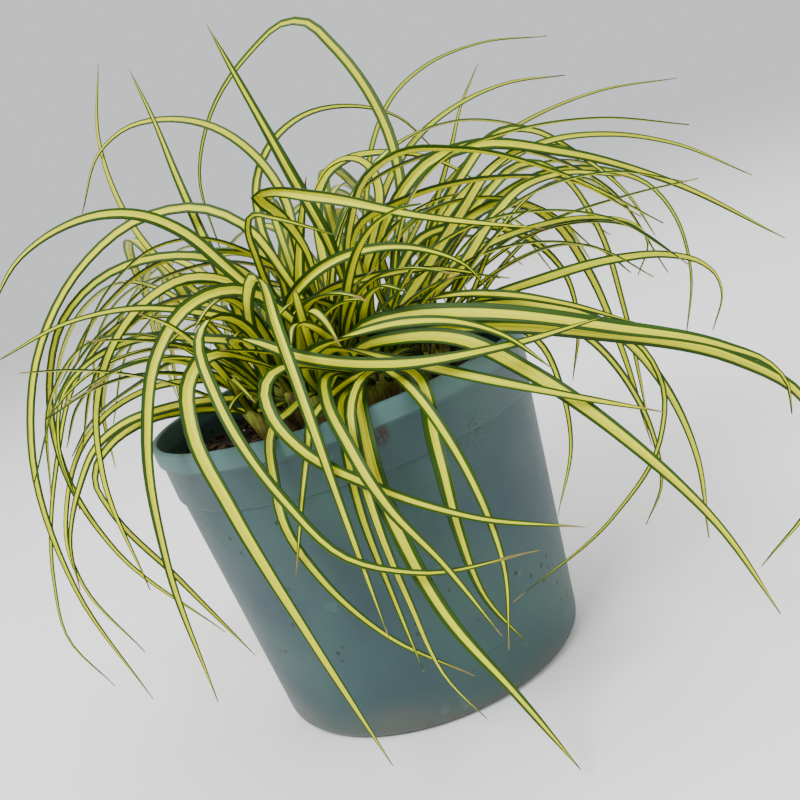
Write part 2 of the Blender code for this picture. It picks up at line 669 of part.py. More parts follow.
def clear_of_pot(points):
    """The line moved out of the pot's wall, the soil and the floor, and eased again."""
    top = POT_HEIGHT + POT_CLEARANCE
    inner_wall = RIM_RADIUS - 8
    for _ in range(6):
        x, y, z = points[SHEATH_POINTS:].T
        z = np.maximum(z, FLOOR_CLEARANCE)
        radius = np.hypot(x, y)
        taper = HEEL_RADIUS + (LEDGE_RADIUS - HEEL_RADIUS) * np.maximum(z, 0.0) / LEDGE_HEIGHT
        wall = np.where(z > LEDGE_HEIGHT - 6, RIM_RADIUS, taper) + POT_CLEARANCE
        near = (radius < wall) & (z < top)
        at_wall = near & ((radius > inner_wall) | (z < SOIL_TOP - 4))
        over = at_wall & (top - z < wall - radius)
        buried = near & ~at_wall & (z < SOIL_TOP + SOIL_CLEARANCE)
        outward = np.where(at_wall & ~over, wall / radius, 1.0)
        z = np.where(over, top, np.where(buried, SOIL_TOP + SOIL_CLEARANCE, z))
        moved = np.concatenate([points[:SHEATH_POINTS], np.stack([x * outward, y * outward, z], 1)])
        points = softened(moved, 2)
    return points


def grown_course(shoot, azimuth, rise, fall, length, turn):
    """A leaf that leaves its sheath steeply, arches over and turns a little sideways."""
    _, collar, _, along = sheath_axis(shoot)
    point = collar + along * ROOT_HEIGHT
    points = [point]
    step = length / PATH_POINTS
    for k in range(PATH_POINTS):
        part = k / PATH_POINTS
        tilt = math.radians(rise - (rise + fall) * part**1.05)
        heading = azimuth + turn * part
        flat = np.array([math.cos(heading), math.sin(heading), 0.0]) * math.cos(tilt)
        way = flat + np.array([0.0, 0.0, math.sin(tilt)])
        blend = min(1.0, k / 7)
        way = unit(along * (1 - blend) + way * blend)
        point = point + way * step
        points.append(point)
    return even_steps(np.array(points), PATH_POINTS)


# From a course to a blade
def blade_frames(points, facing, pull):
    """Direction, side and upper-face normal along a course, the face turned slowly to facing."""
    ahead = np.gradient(points, axis=0)
    ahead /= np.linalg.norm(ahead, axis=1)[:, None]
    out = ahead[10] - ahead[10][2] * np.array([0.0, 0.0, 1.0])
    normal = np.array([0.0, 0.0, 1.0]) - 0.8 * unit(out + np.array([1e-6, 0.0, 0.0]))
    normals = []
    for way in ahead:
        normal = unit(normal - way * normal.dot(way))
        aim = facing - way * facing.dot(way)
        strength = np.linalg.norm(aim)
        if strength > 0.15:
            normal = unit(normal * (1 - pull * strength) + aim * pull)
        normals.append(normal)
    normals = np.array(normals)
    return ahead, np.cross(ahead, normals), normals


def width_at(part, widest):
    """Width along the leaf: narrow at its root, widest at a third, then a long taper."""
    root = min(BLADE_ROOT_WIDTH, widest)
    body = root + (widest - root) * np.minimum(1.0, part / 0.3) ** 0.8
    return body * (1.0 - np.maximum(0.0, (part - 0.36) / 0.64) ** 1.9)


def ring_places(points, sections):
    """Where to put the sections: closer together where the leaf bends."""
    ahead = np.diff(points, axis=0)
    ahead /= np.linalg.norm(ahead, axis=1)[:, None]
    bend = np.arccos(np.clip((ahead[1:] * ahead[:-1]).sum(axis=1), -1, 1))
    bend = np.concatenate([[0.0], bend, [0.0]])
    cost = np.cumsum(1.0 / len(points) + bend * 0.45)
    cost = (cost - cost[0]) / (cost[-1] - cost[0])
    return np.interp(np.linspace(0, 1, sections + 1), cost, np.arange(len(points)))


def blade_rings(points, widest, sections, facing, pull):
    """Centre, side, upper-face normal and half width at each section but the last, which is the tip."""
    _, sides, normals = blade_frames(points, facing, pull)
    places = ring_places(points, sections)[:-1]
    index = np.arange(len(points))
    centre, side, normal = (
        np.stack([np.interp(places, index, line[:, k]) for k in range(3)], axis=1)
        for line in (points, sides, normals)
    )
    side /= np.linalg.norm(side, axis=1)[:, None]
    normal /= np.linalg.norm(normal, axis=1)[:, None]
    return centre, side, normal, width_at(places / index[-1], widest) / 2


def blade_mesh(points, widest, sections, facing, pull, grow=0.0, thickness=BLADE_THICKNESS):
    """A closed blade with a channel above and a keel below, split the same way on both faces."""
    centre, side, normal, half = blade_rings(points, widest, sections, facing, pull)
    half = (half + grow)[:, None]
    lift = 2 * half * CHANNEL_DEPTH
    thick = thickness / 2 + grow
    corners = (
        centre + side * half + normal * lift * 0.6,
        centre + normal * (thick - lift * 0.4),
        centre - side * half + normal * lift * 0.6,
        centre - normal * (thick + lift * 0.4),
    )
    verts = np.concatenate([np.stack(corners, axis=1).reshape(-1, 3), points[-1:]])
    faces = [(0, 1, 3), (1, 2, 3)]
    for ring in range(sections - 1):
        a = 4 * ring
        for k, n in ((0, 1), (1, 2)):
            faces.append((a + k, a + 4 + k, a + 4 + n))
            faces.append((a + k, a + 4 + n, a + n))
        for k, n in ((2, 3), (3, 0)):
            faces.append((a + k, a + 4 + k, a + n))
            faces.append((a + 4 + k, a + 4 + n, a + n))
    last = 4 * (sections - 1)
    for k in range(4):
        faces.append((last + k, last + 4, last + (k + 1) % 4))
    return verts, faces


def tree_of(verts, faces):
    return BVHTree.FromPolygons([tuple(v) for v in verts], faces)


class Placed:
    """What already stands, as search trees with their boxes, and the shoot that each belongs to."""

    def __init__(self):
        self.items = []

    def add(self, owner, verts, faces):
        spots = np.array([tuple(v) for v in verts])
        self.items.append((owner, tree_of(verts, faces), spots.min(axis=0), spots.max(axis=0)))

    def hits(self, owners, verts, faces, first=0):
        """Faces from the first on that touch something whose owner passes the test."""
        spots = np.array([tuple(v) for v in verts])
        low = spots.min(axis=0)
        high = spots.max(axis=0)
        tree = None
        found = []
        for other, other_tree, other_low, other_high in self.items:
            if not owners(other) or (low > other_high).any() or (high < other_low).any():
                continue
            if tree is None:
                tree = tree_of(verts, faces[first:])
            found += [pair[0] + first for pair in tree.overlap(other_tree)]
        return found


def bumped(points, bumps, ways):
    """The course with smooth local shifts along the given directions."""
    shift = np.zeros(len(points))
    part = np.linspace(0, 1, len(points))
    for place, amount, spread in bumps:
        shift += amount * np.exp(-(((part - place) / spread) ** 2))
    shift *= np.clip((part - 0.06) / 0.12, 0, 1)
    return points + ways * shift[:, None]


def face_part(face, sections, places):
    """How far along the leaf a face of its mesh lies, from 0 to 1."""
    ring = min(max((face - 2) // 8, 0), sections - 1)
    return (places[ring] + places[ring + 1]) / 2 / (PATH_POINTS - 1)


def free_face(line, places):
    """The first face of a blade past the length over which a shoot's leaves may fuse."""
    step = np.linalg.norm(line[1] - line[0])
    rings = int(np.searchsorted(np.asarray(places) * step, FUSED_LENGTH))
    return 2 + 8 * rings


def add_leaf(placed, owner, line, widest, sections, facing, pull):
    verts, faces = blade_mesh(line, widest, sections, facing, pull)
    placed.add(owner, verts, faces)
    free = free_face(line, ring_places(line, sections))
    if free < len(faces):
        placed.add(OWN_FREE_PART + owner, verts, faces[free:])


def settle(placed, owner, course, widest, sections, facing, pull, ways):
    """Bends a leaf clear of the others. Returns its course, or None where it can't be."""
    bumps = []
    own = OWN_FREE_PART + owner
    length = np.linalg.norm(np.diff(course, axis=0), axis=1).sum()
    spread = 26.0 / length

    def tried(extra):
        line = clear_of_pot(bumped(course, bumps + extra, ways))
        verts, faces = blade_mesh(line, widest, sections, facing, pull, LEAF_CLEARANCE)
        places = ring_places(line, sections)
        found = placed.hits(lambda other: other not in (owner, own) and other < OWN_FREE_PART, verts, faces)
        free = free_face(line, places)
        found += placed.hits(lambda other: other == own, verts, faces, free)
        return line, found, places

    line, hits, places = tried([])
    for _ in range(9):
        if not hits:
            return line
        here = min(face_part(face, sections, places) for face in hits)
        best = None
        for amount in (3, -3, 5, -5, 8, -8, 12, -12, 17, -17):
            extra = [(max(here, 0.08), amount, spread * (1 + abs(amount) / 14))]
            option = tried(extra)
            beyond = [f for f in option[1] if face_part(f, sections, option[2]) <= here + spread]
            score = (len(beyond) > 0, len(option[1]) + abs(amount) * 0.3)
            if best is None or score < best[0]:
                best = (score, extra, option)
            if not option[1]:
                break
        bumps += best[1]
        line, hits, places = best[2]
    return line if not hits else None


# Growing the whole clump
def grow_clump(shoots):
    """Every leaf as (shoot number, course, width, sections, facing, pull)."""
    rng = random.Random(SEED)
    placed = Placed()
    for number, shoot in enumerate(shoots):
        placed.add(number, *sheath_mesh(shoot))
    for name in ("pot", "soil"):
        mesh = bpy.data.objects[name].data
        verts = [v.co / METRES for v in mesh.vertices]
        placed.add(-1, verts, [tuple(p.vertices) for p in mesh.polygons])
    count = [0] * len(shoots)
    leaves = []
    missed = []
    tops = [sheath_axis(shoot)[2] for shoot in shoots]
    seen_face = unit(BACK + np.array([0.0, 0.0, 0.55]))
    for name, seen_width, depths, course in LEAVES:
        widest = seen_width * SEEN_WIDTH
        seen = read_course(depths, course)
        order = sorted(
            range(len(shoots)),
            key=lambda k: np.linalg.norm(tops[k] - seen[0]) + 7.0 * count[k],
        )
        for number in order[:7]:
            line = rooted(shoots[number], seen)
            ways = np.array([unit(EYE - p) for p in line])
            sections = sections_for(line)
            done = settle(placed, number, line, widest, sections, seen_face, READ_PULL, ways)
            if done is not None:
                break
        if done is None:
            missed.append(name)
            continue
        add_leaf(placed, number, done, widest, sections, seen_face, READ_PULL)
        count[number] += 1
        leaves.append((number, done, widest, sections, seen_face, READ_PULL))
    print("leaves read:", len(leaves), "missed:", missed)
    up = np.array([0.0, 0.0, 1.0])
    for attempt in range(4000):
        if len(leaves) >= LEAF_COUNT:
            break
        number = min(range(len(shoots)), key=lambda k: count[k] + rng.uniform(0, 2.6))
        x, y, _ = shoots[number]
        outward = math.atan2(y - CROWN_CENTRE[1], x - CROWN_CENTRE[0])
        distance = math.hypot(x - CROWN_CENTRE[0], y - CROWN_CENTRE[1]) / CROWN_RADIUS
        azimuth = outward + rng.uniform(-1.0, 1.0) * (2.6 - 1.5 * distance)
        rise = rng.uniform(64, 88) - 12 * distance
        fall = rng.uniform(25, 88)
        length = rng.uniform(110, 220)
        if math.sin(azimuth) < -0.3:
            length = rng.uniform(60, 120)
            fall = rng.uniform(-20, 40)
        elif math.sin(azimuth) > 0.4:
            length = rng.uniform(150, 235)
            fall = rng.uniform(55, 95)
        turn = rng.uniform(-0.8, 0.8)
        widest = rng.choice(GROWN_WIDTHS)
        line = grown_course(shoots[number], azimuth, rise, fall, length, turn)
        if not keeps_to_outline(line):
            continue
        ways = np.array([unit(up + 0.3 * BACK)] * len(line))
        done = settle(placed, number, line, widest, GROWN_SECTIONS, up, GROWN_PULL, ways)
        if done is None or not keeps_to_outline(done) or tightest_bend(done) < TIGHTEST_BEND:
            continue
        add_leaf(placed, number, done, widest, GROWN_SECTIONS, up, GROWN_PULL)
        count[number] += 1
        leaves.append((number, done, widest, GROWN_SECTIONS, up, GROWN_PULL))
    print("leaves in all:", len(leaves), "tries:", attempt)
    return leaves


def make_shoot(name, shoot, leaves, thickness, leaf):
    """One shoot: its sheath with its leaves fused into it."""
    body = mesh_object(name, *sheath_mesh(shoot), leaf)
    blades = helper_collection(name + "_blades")
    for _, course, widest, sections, facing, pull in leaves:
        verts, faces = blade_mesh(course, widest, sections, facing, pull, 0.0, thickness)
        mesh_object("blade", verts, faces, leaf, blades)
    boolean(body, blades, "UNION", "MANIFOLD")
    return body, keep_main_body(body)


def make_shoots(shoots, leaves):
    for number, shoot in enumerate(shoots):
        name = f"shoot_{number + 1:02d}"
        leaf = material(name + "_leaf", (0.42, 0.47, 0.06), 0.5)
        own = [item for item in leaves if item[0] == number]
        for thickness in THICKNESS_TRIES:
            body, dropped = make_shoot(name, shoot, own, thickness, leaf)
            whole = sound(body) and dropped < SCRAP_FACES
            if whole or thickness == THICKNESS_TRIES[-1]:
                break
            print(name, "fused unsoundly at", thickness)
            bpy.data.objects.remove(body, do_unlink=True)


for old in list(bpy.data.objects):
    bpy.data.objects.remove(old, do_unlink=True)
CUTTER = material("cutter", (0.5, 0.1, 0.1), 0.5)
SHOOTS = shoot_places(random.Random(SEED + 1))
make_pot()
make_soil(SHOOTS)
make_shoots(SHOOTS, grow_clump(SHOOTS))
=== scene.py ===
# %% [markdown]
# # A gold-striped sedge in its nursery pot
# The real object is a tuft of arching striped leaves in a thin teal pot. The solids of the plant are
# already placed in the frame. This script dresses them: a fine pot, crumbly potting mix, and one fine
# leafy shoot over each plain shoot, all in the same place and to the same size.

# %% Load the frame
import collections
import math
import random

import bmesh
import bpy
import numpy as np
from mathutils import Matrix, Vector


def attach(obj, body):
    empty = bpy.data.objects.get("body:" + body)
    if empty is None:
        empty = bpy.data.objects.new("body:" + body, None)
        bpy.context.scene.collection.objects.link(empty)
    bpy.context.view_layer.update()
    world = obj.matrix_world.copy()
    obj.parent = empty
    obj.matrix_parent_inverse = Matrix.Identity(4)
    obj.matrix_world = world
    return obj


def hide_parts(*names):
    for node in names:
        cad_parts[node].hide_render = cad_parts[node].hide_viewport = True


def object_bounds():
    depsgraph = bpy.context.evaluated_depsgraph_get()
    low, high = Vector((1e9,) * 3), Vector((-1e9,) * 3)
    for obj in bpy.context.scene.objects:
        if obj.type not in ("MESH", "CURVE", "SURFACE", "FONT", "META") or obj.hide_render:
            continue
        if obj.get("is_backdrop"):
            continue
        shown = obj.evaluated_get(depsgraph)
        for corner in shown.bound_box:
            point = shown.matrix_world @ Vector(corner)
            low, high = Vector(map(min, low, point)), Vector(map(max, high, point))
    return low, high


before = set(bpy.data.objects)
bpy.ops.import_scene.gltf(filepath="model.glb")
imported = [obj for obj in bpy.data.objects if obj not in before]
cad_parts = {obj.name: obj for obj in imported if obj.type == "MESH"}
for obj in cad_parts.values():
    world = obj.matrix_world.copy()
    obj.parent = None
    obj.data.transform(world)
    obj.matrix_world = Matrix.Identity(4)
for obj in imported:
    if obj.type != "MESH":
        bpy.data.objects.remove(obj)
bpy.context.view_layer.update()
print("frame:", len(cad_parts), "nodes")

# %% [markdown]
# ## The camera
# The photograph isn't level. Its camera looks down 12.5 degrees on the pot and is rolled by 19.2 degrees, so
# the pot seems to lean. A camera could be turned by its Euler angles, but three axes written as columns of
# a matrix are easier to check: right, up, and back towards the eye. The same three axes later tell where a
# leaf tip is seen.

# %% The camera's axes
MM = 0.001
IMAGE_SIDE = 800
FOCUS_PIXELS = 1092.0
LOOK_AT = np.array([19.4, 0.0, 98.6])
LOOK_FROM = 400.0
look_down = math.radians(12.5)
camera_roll = math.radians(19.2)

level = np.array([1.0, 0.0, 0.0])
rise = np.array([0.0, math.sin(look_down), math.cos(look_down)])
view_back = np.array([0.0, -math.cos(look_down), math.sin(look_down)])
view_right = level * math.cos(camera_roll) - rise * math.sin(camera_roll)
view_up = level * math.sin(camera_roll) + rise * math.cos(camera_roll)
eye = LOOK_AT + view_back * LOOK_FROM
print("eye:", eye.round(1), "mm")

# %% Place the camera
SENSOR_WIDTH = 36.0

bpy.ops.object.select_all(action="DESELECT")
bpy.ops.object.camera_add()
camera = bpy.context.object
camera.name = "camera"
camera.data.sensor_width = SENSOR_WIDTH
camera.data.lens = SENSOR_WIDTH * FOCUS_PIXELS / IMAGE_SIDE
columns = np.eye(4)
columns[:3, :3] = np.stack([view_right, view_up, view_back], axis=1)
columns[:3, 3] = eye * MM
camera.matrix_world = columns.T
bpy.context.scene.camera = camera
print("camera lens:", round(camera.data.lens, 2), "mm")


def seen_at(point):
    """Where a point, in millimetres, falls in the picture, in pixels."""
    away = np.asarray(point) - eye
    depth = -away.dot(view_back)
    half = IMAGE_SIDE / 2
    return (half + FOCUS_PIXELS * away.dot(view_right) / depth,
            half - FOCUS_PIXELS * away.dot(view_up) / depth)


# %% [markdown]
# ## Helpers for materials
# Colours are picked as sRGB hex values, as a colour picker shows them, but shaders work in linear light,
# so one function converts them. Every node tree below is built with one more function, which adds a node,
# sets it up, and links or sets its inputs. Sizes of patterns are given in millimetres, while a noise texture
# wants to know how many fit in a metre.

# %% Colour and node helpers
def linear(hex_colour):
    """An sRGB hex colour as linear red, green, blue and alpha."""
    channels = [int(hex_colour[k:k + 2], 16) / 255 for k in (1, 3, 5)]
    return tuple(c / 12.92 if c <= 0.04045 else ((c + 0.055) / 1.055) ** 2.4 for c in channels) + (1.0,)


def connect(node, inputs):
    """
    Sets or links a node's inputs, each given by name or number. The value is another node, an output of one,
    a hex colour or a plain number. Of several sockets with one name, the one in use is meant.
    """
    for name, value in inputs.items():
        if isinstance(name, int):
            socket = node.inputs[name]
        else:
            socket = next(entry for entry in node.inputs if entry.enabled and entry.name == name)
        if isinstance(value, bpy.types.Node):
            value = next(output for output in value.outputs if output.enabled)
        if isinstance(value, bpy.types.NodeSocket):
            node.id_data.links.new(value, socket)
        else:
            socket.default_value = linear(value) if isinstance(value, str) else value


def add(tree, kind, inputs=None, **settings):
    """Adds a node with its settings and its inputs."""
    node = tree.nodes.new("ShaderNode" + kind)
    for name, value in settings.items():
        setattr(node, name, value)
    connect(node, inputs or {})
    return node


def new_material(name, surface):
    """A material, its node tree and its shader, on which the values that are even all over are set."""
    finish = bpy.data.materials.new(name)
    finish.use_nodes = True
    shader = finish.node_tree.nodes["Principled BSDF"]
    connect(shader, surface)
    return finish, finish.node_tree, shader


def per_metre(size):
    """How many patterns of a size in millimetres fit in a metre."""
    return 1.0 / (size * MM)


print("middle grey in linear light:", round(linear("#808080")[0], 3))

# %% [markdown]
# ## Reading the blades from the solids
# Each leaf here has to lie exactly where its plain solid lies. The solid of a blade is a chain of rings with
# four corners (two edges, a valley above and a keel below) that ends in a point. The rings could be
# written down again, but it is safer to measure them: from each tip the walk goes down ring by ring, until
# the blade is fused with its shoot. A ring's corners tell the middle, the width and the face of the leaf.

# %% Read one ring
WELD = 2e-6
RING_CORNERS = 4
EDGE_LINKS = (1, 3)
FOLD_SHIFT = 0.6


def merged_copy(node):
    """The mesh of a solid with its loose triangles joined."""
    solid = bmesh.new()
    solid.from_mesh(node.data)
    bmesh.ops.remove_doubles(solid, verts=solid.verts[:], dist=WELD)
    return solid


def links_to(corner, ring):
    """How many edges join a corner to a neighbouring ring."""
    return sum(edge.other_vert(corner) in ring for edge in corner.link_edges)


def read_ring(ring, above, below):
    """
    Middle, face and half width of a ring, or None where it isn't a plain one. The faces are split so that
    the leaf's edges have one or three links to the next ring, and the keel and the valley have two.
    """
    other = above if len(above) == RING_CORNERS else below
    edges = [corner for corner in ring if links_to(corner, other) in EDGE_LINKS]
    if len(edges) != 2:
        return None
    left, right = (np.array(corner.co) / MM for corner in edges)
    middle = (left + right) / 2
    keel, valley = sorted((np.array(corner.co) / MM for corner in ring if corner not in edges),
                          key=lambda place: -np.linalg.norm(place - middle))
    lift = np.linalg.norm(middle - (keel + valley) / 2)
    face = (middle - keel) / np.linalg.norm(middle - keel)
    return middle - face * lift * FOLD_SHIFT, face, np.linalg.norm(left - right) / 2


print("a shoot's solid:", len(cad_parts["shoot_01"].data.polygons), "faces")

# %% Walk down each blade
SAME_WAY = 3.4


def is_tip(corner):
    """True where four edges leave a corner close together, all the same way."""
    if len(corner.link_edges) != RING_CORNERS:
        return False
    ways = [(edge.other_vert(corner).co - corner.co).normalized() for edge in corner.link_edges]
    return sum(ways[1:], ways[0]).length > SAME_WAY


def next_ring(ring, walked):
    """The four corners below a ring, or no corners where the blade runs into something."""
    below = {edge.other_vert(corner) for corner in ring for edge in corner.link_edges} - walked
    return below if len(below) == RING_CORNERS else set()


def blades_of(node):
    """Every blade of a shoot: its tip, and its rings from the tip down."""
    solid = merged_copy(node)
    found = []
    for tip in filter(is_tip, solid.verts):
        above = {tip}
        ring = {edge.other_vert(tip) for edge in tip.link_edges}
        walked = above | ring
        rings = []
        while ring:
            below = next_ring(ring, walked)
            rings.append(read_ring(ring, above, below))
            walked |= below
            above, ring = ring, below
        rings = [ring for ring in rings if ring]
        if rings:
            found.append((np.array(tip.co) / MM, rings))
    solid.free()
    return sorted(found, key=lambda blade: tuple(np.round(blade[0], 1)))


shoot_names = sorted(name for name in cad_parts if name.startswith("shoot_"))
blades = {name: blades_of(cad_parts[name]) for name in shoot_names}
ring_counts = [len(rings) for found in blades.values() for _, rings in found]
print("blades read:", len(ring_counts), "on", len(blades), "shoots")
print("fewest and most rings on a blade:", min(ring_counts), max(ring_counts))

# %% [markdown]
# ## One blade, modelled flat
# A sedge blade is a long strip, folded along its middle into a shallow channel, with its edges curled back
# a little. It could be a curve with a profile, but a grid keeps a clean UV map that runs across and along
# the leaf, which is what the stripes need. So one flat blade is modelled and then copied.

# %% Model the flat blade
ACROSS = 8
ALONG = 44


def only(piece):
    """Selects one piece and makes it the active one."""
    bpy.ops.object.select_all(action="DESELECT")
    piece.select_set(True)
    bpy.context.view_layer.objects.active = piece


bpy.ops.object.select_all(action="DESELECT")
bpy.ops.mesh.primitive_grid_add(x_subdivisions=ACROSS, y_subdivisions=ALONG, size=2.0)
flat_blade = bpy.context.object
flat_blade.name = "flat_blade"
flat_blade.data.uv_layers[0].name = "blade"
blank = np.array([vertex.co for vertex in flat_blade.data.vertices])
blade_across = blank[:, 0]
blade_row = np.round((blank[:, 1] + 1.0) / 2.0 * ALONG).astype(int)
print("flat blade:", len(blank), "points")

# %% [markdown]
# ## The sheaths' places
# A shoot's leaves all come out of one short sheath that stands in the soil and leans outwards a little, the
# more so the further it is from the crown's middle. Its foot is the lowest part of its solid near the
# crown, because a drooping leaf can hang lower further out.

# %% Find where each sheath stands
CROWN_MIDDLE = np.array([4.0, -1.0, 0.0])
CROWN_RADIUS = 34.0
CROWN_REACH = 42.0
SHEATH_LEAN = 0.42
SHEATH_FOOT = 11.5
FLAT_FOOT = 0.05


def sheath_line(name):
    """Where a shoot's sheath leaves the soil, and the way that it leans."""
    points = np.array([vertex.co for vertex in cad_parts[name].data.vertices]) / MM
    points = points[np.linalg.norm((points - CROWN_MIDDLE)[:, :2], axis=1) < CROWN_REACH]
    foot = points[points[:, 2] < points[:, 2].min() + FLAT_FOOT]
    foot = (foot.min(axis=0) + foot.max(axis=0)) / 2
    out = (foot - CROWN_MIDDLE) * (1.0, 1.0, 0.0)
    distance = np.linalg.norm(out)
    lean = SHEATH_LEAN * distance / CROWN_RADIUS
    way = out / max(distance, 1e-6) * math.sin(lean) + np.array([0.0, 0.0, math.cos(lean)])
    return foot + (0.0, 0.0, SHEATH_FOOT), way


sheaths = {name: sheath_line(name) for name in shoot_names}
print("sheaths:", len(sheaths))

# %% [markdown]
# ## Laying a blade on its course
# A Curve modifier could bend the flat blade, but it chooses the twist by itself. Here the twist is known
# from the rings, so the points are placed in code: a smooth line through the middles of the rings, and at
# each step along it a side, a face and a width. The root starts inside the sheath that the leaf grows from,
# and the last stretch narrows in a curve to a fine point.

# %% Smooth lines
def run_of(points):
    """How far along a line each of its points lies."""
    return np.concatenate([[0.0], np.cumsum(np.linalg.norm(np.diff(points, axis=0), axis=1))])


def smooth_line(places, values, wanted):
    """Values between known places on a Catmull-Rom curve, one column at a time."""
    slopes = np.gradient(values, places, axis=0)
    spot = np.clip(np.searchsorted(places, wanted) - 1, 0, len(places) - 2)
    step = (places[spot + 1] - places[spot])[:, None]
    part = (wanted - places[spot])[:, None] / step
    start, end = values[spot], values[spot + 1]
    return ((2 * part**3 - 3 * part**2 + 1) * start + (part**3 - 2 * part**2 + part) * step * slopes[spot]
            + (3 * part**2 - 2 * part**3) * end + (part**3 - part**2) * step * slopes[spot + 1])


right_angle = np.array([[0.0, 0.0], [1.0, 0.0], [1.0, 1.0]])
cut_corner = smooth_line(run_of(right_angle), right_angle, np.array([0.5, 1.5]))
print("a right angle, smoothed, passes", cut_corner.round(2).tolist())

# %% Courses through the rings
ROOT_RISES = (3.0, 11.0)
ROOT_HALF_WIDTHS = (1.2, 1.5)
TIP_HALF_WIDTH = 0.08
TIP_CURVE = 1.6
FINE_STEPS = 400

# A leaf's middle line, side, face, half width and distance from the root, in millimetres, at each step.
Course = collections.namedtuple("Course", "line side face half reach")


def course_of(sheath, tip, rings):
    """The course of one leaf, from inside its sheath to its tip."""
    collar, way = sheath
    ring_middles, ring_faces, ring_halves = zip(*reversed(rings))
    middles = np.array([*(collar + way * rise for rise in ROOT_RISES), *ring_middles, tip])
    faces = np.array([ring_faces[0], ring_faces[0], *ring_faces, ring_faces[-1]])
    halves = np.array([*ROOT_HALF_WIDTHS, *ring_halves, 0.0])
    places = run_of(middles)
    for _ in range(2):
        fine = np.linspace(0.0, places[-1], FINE_STEPS)
        places = np.interp(places, fine, run_of(smooth_line(places, middles, fine)))
    reach = np.linspace(0.0, places[-1], ALONG + 1)
    line = smooth_line(places, middles, reach)
    ahead = np.gradient(line, axis=0)
    ahead /= np.linalg.norm(ahead, axis=1)[:, None]
    face = np.stack([np.interp(reach, places, faces[:, k]) for k in range(3)], axis=1)
    face -= ahead * (face * ahead).sum(axis=1)[:, None]
    face /= np.linalg.norm(face, axis=1)[:, None]
    half = np.interp(reach, places, halves)
    last = places[-2]
    final = reach > last
    half[final] = halves[-2] * (1 - ((reach[final] - last) / (places[-1] - last)) ** TIP_CURVE)
    return Course(line, np.cross(ahead, face), face, np.maximum(half, TIP_HALF_WIDTH), reach)


courses = {name: [course_of(sheaths[name], *blade) for blade in blades[name]] for name in shoot_names}
print("longest leaf:", round(max(course.reach[-1] for found in courses.values() for course in found)), "mm")

# %% Lay the flat blade on a course
CHANNEL = 0.48
CURLED_BACK = 0.18
FOLD_MIDDLE = 0.42


def laid(course):
    """The points of the flat blade, laid on a course and folded into a channel."""
    out = np.abs(blade_across)
    fold = out - CURLED_BACK * out**4 - FOLD_MIDDLE
    width = course.half[blade_row][:, None]
    return (course.line[blade_row] + course.side[blade_row] * width * blade_across[:, None]
            + course.face[blade_row] * width * CHANNEL * fold[:, None])


first_leaf = laid(courses[shoot_names[0]][0])
print("first leaf:", np.ptp(first_leaf, axis=0).round(1), "mm")

# %% [markdown]
# ## What makes each leaf different
# No two leaves of the real tuft have the same stripes. Some are pale and some are strong yellow, the green
# margins are wide or narrow, and a few tips have dried to tan. The leaves further back get painted shade,
# which makes them duller. These facts are stored on the points of each leaf as attributes, so one material
# can draw them all.

# %% Leaf attributes
DRY_TIPS = ((296, 577), (540, 550), (585, 527), (475, 676), (440, 668), (665, 412), (246, 210), (547, 36))
DRY_TIP_REACH = 14
LONG_DRY = (6, 15)
SHORT_DRY = (0.0, 0.0, 1.5, 2.0, 3.0, 6.0)
BACK_SHADE_FROM = 25.0
BACK_SHADE_OVER = 70.0
BACK_SHADE_SCALES = (0.7, 1.0)
MARGIN_STARTS = (0.42, 0.64)
ATTRIBUTES = ("tone", "margin", "back_shade", "dry", "number", "from_tip", "from_root")
leaf_random = random.Random(11)


def character(tip, course):
    """Tone, margin, painted shade for a leaf further back, length dried at the tip, and a number of its own
    for one leaf.
    """
    # Leaves further back get painted shade, its strength scaled at random for each leaf.
    middle_depth = course.line[len(course.line) // 2][1]
    back_shade = min(1.0, max(0.0, (middle_depth - BACK_SHADE_FROM) / BACK_SHADE_OVER)) * leaf_random.uniform(*BACK_SHADE_SCALES)
    near_dry = min(math.dist(seen_at(tip), spot) for spot in DRY_TIPS) < DRY_TIP_REACH
    dry = leaf_random.uniform(*LONG_DRY) if near_dry else leaf_random.choice(SHORT_DRY)
    return leaf_random.random(), leaf_random.uniform(*MARGIN_STARTS), back_shade, dry, leaf_random.uniform(0, 100)


def write_attributes(mesh, facts, course):
    """Writes one leaf's facts and the distance of each of its points from tip and root."""
    reach = course.reach[blade_row]
    columns = [np.full(len(reach), fact) for fact in facts] + [course.reach[-1] - reach, reach]
    for name, values in zip(ATTRIBUTES, columns):
        mesh.attributes.new(name, "FLOAT", "POINT").data.foreach_set("value", values.astype(np.float32))


print("leaf attributes:", ", ".join(ATTRIBUTES))

# %% [markdown]
# ## The leaf's finish
# A living sedge blade is a waxy plant surface: smooth, half matt, with fine ribs along it. The middle is
# yellow, the margins are dark green, and thin green and golden lines run in the yellow. The stripes could be
# painted, but a leaf needs them sharp from any side, so they are drawn from its UV map and attributes:
# how far across the leaf a point lies, and how far from its root. Noise drawn out along the leaf makes them
# waver. The size of each streak is that of one cell of noise on a leaf 4 mm wide. A wave takes about two
# cells, so the ribs come out about 0.2 mm apart, as on a real leaf, and give it its silky sheen.

# %% Where a point lies on its leaf
leaf_finish, tree, shader = new_material("waxy_striped_leaf", {"IOR": 1.42, "Specular IOR Level": 0.28})
fact = {name: add(tree, "Attribute", attribute_name=name).outputs["Fac"] for name in ATTRIBUTES}
across = add(tree, "SeparateXYZ", {"Vector": add(tree, "UVMap", uv_map="blade")}).outputs["X"]
on_leaf = add(tree, "CombineXYZ", {"X": across, "Y": fact["from_root"], "Z": fact["number"]})

# The yellow band runs a little to one side of the midrib, differently on each leaf.
band_middle = add(tree, "MapRange", {"Value": fact["tone"], "To Min": 0.44, "To Max": 0.56})
off_middle = add(tree, "Math", {0: across, 1: band_middle}, operation="SUBTRACT")
off_middle = add(tree, "Math", {0: off_middle}, operation="ABSOLUTE")
outward = add(tree, "Math", {0: off_middle, 1: 2.0}, operation="MULTIPLY")
print("leaf's place:", len(tree.nodes), "nodes")

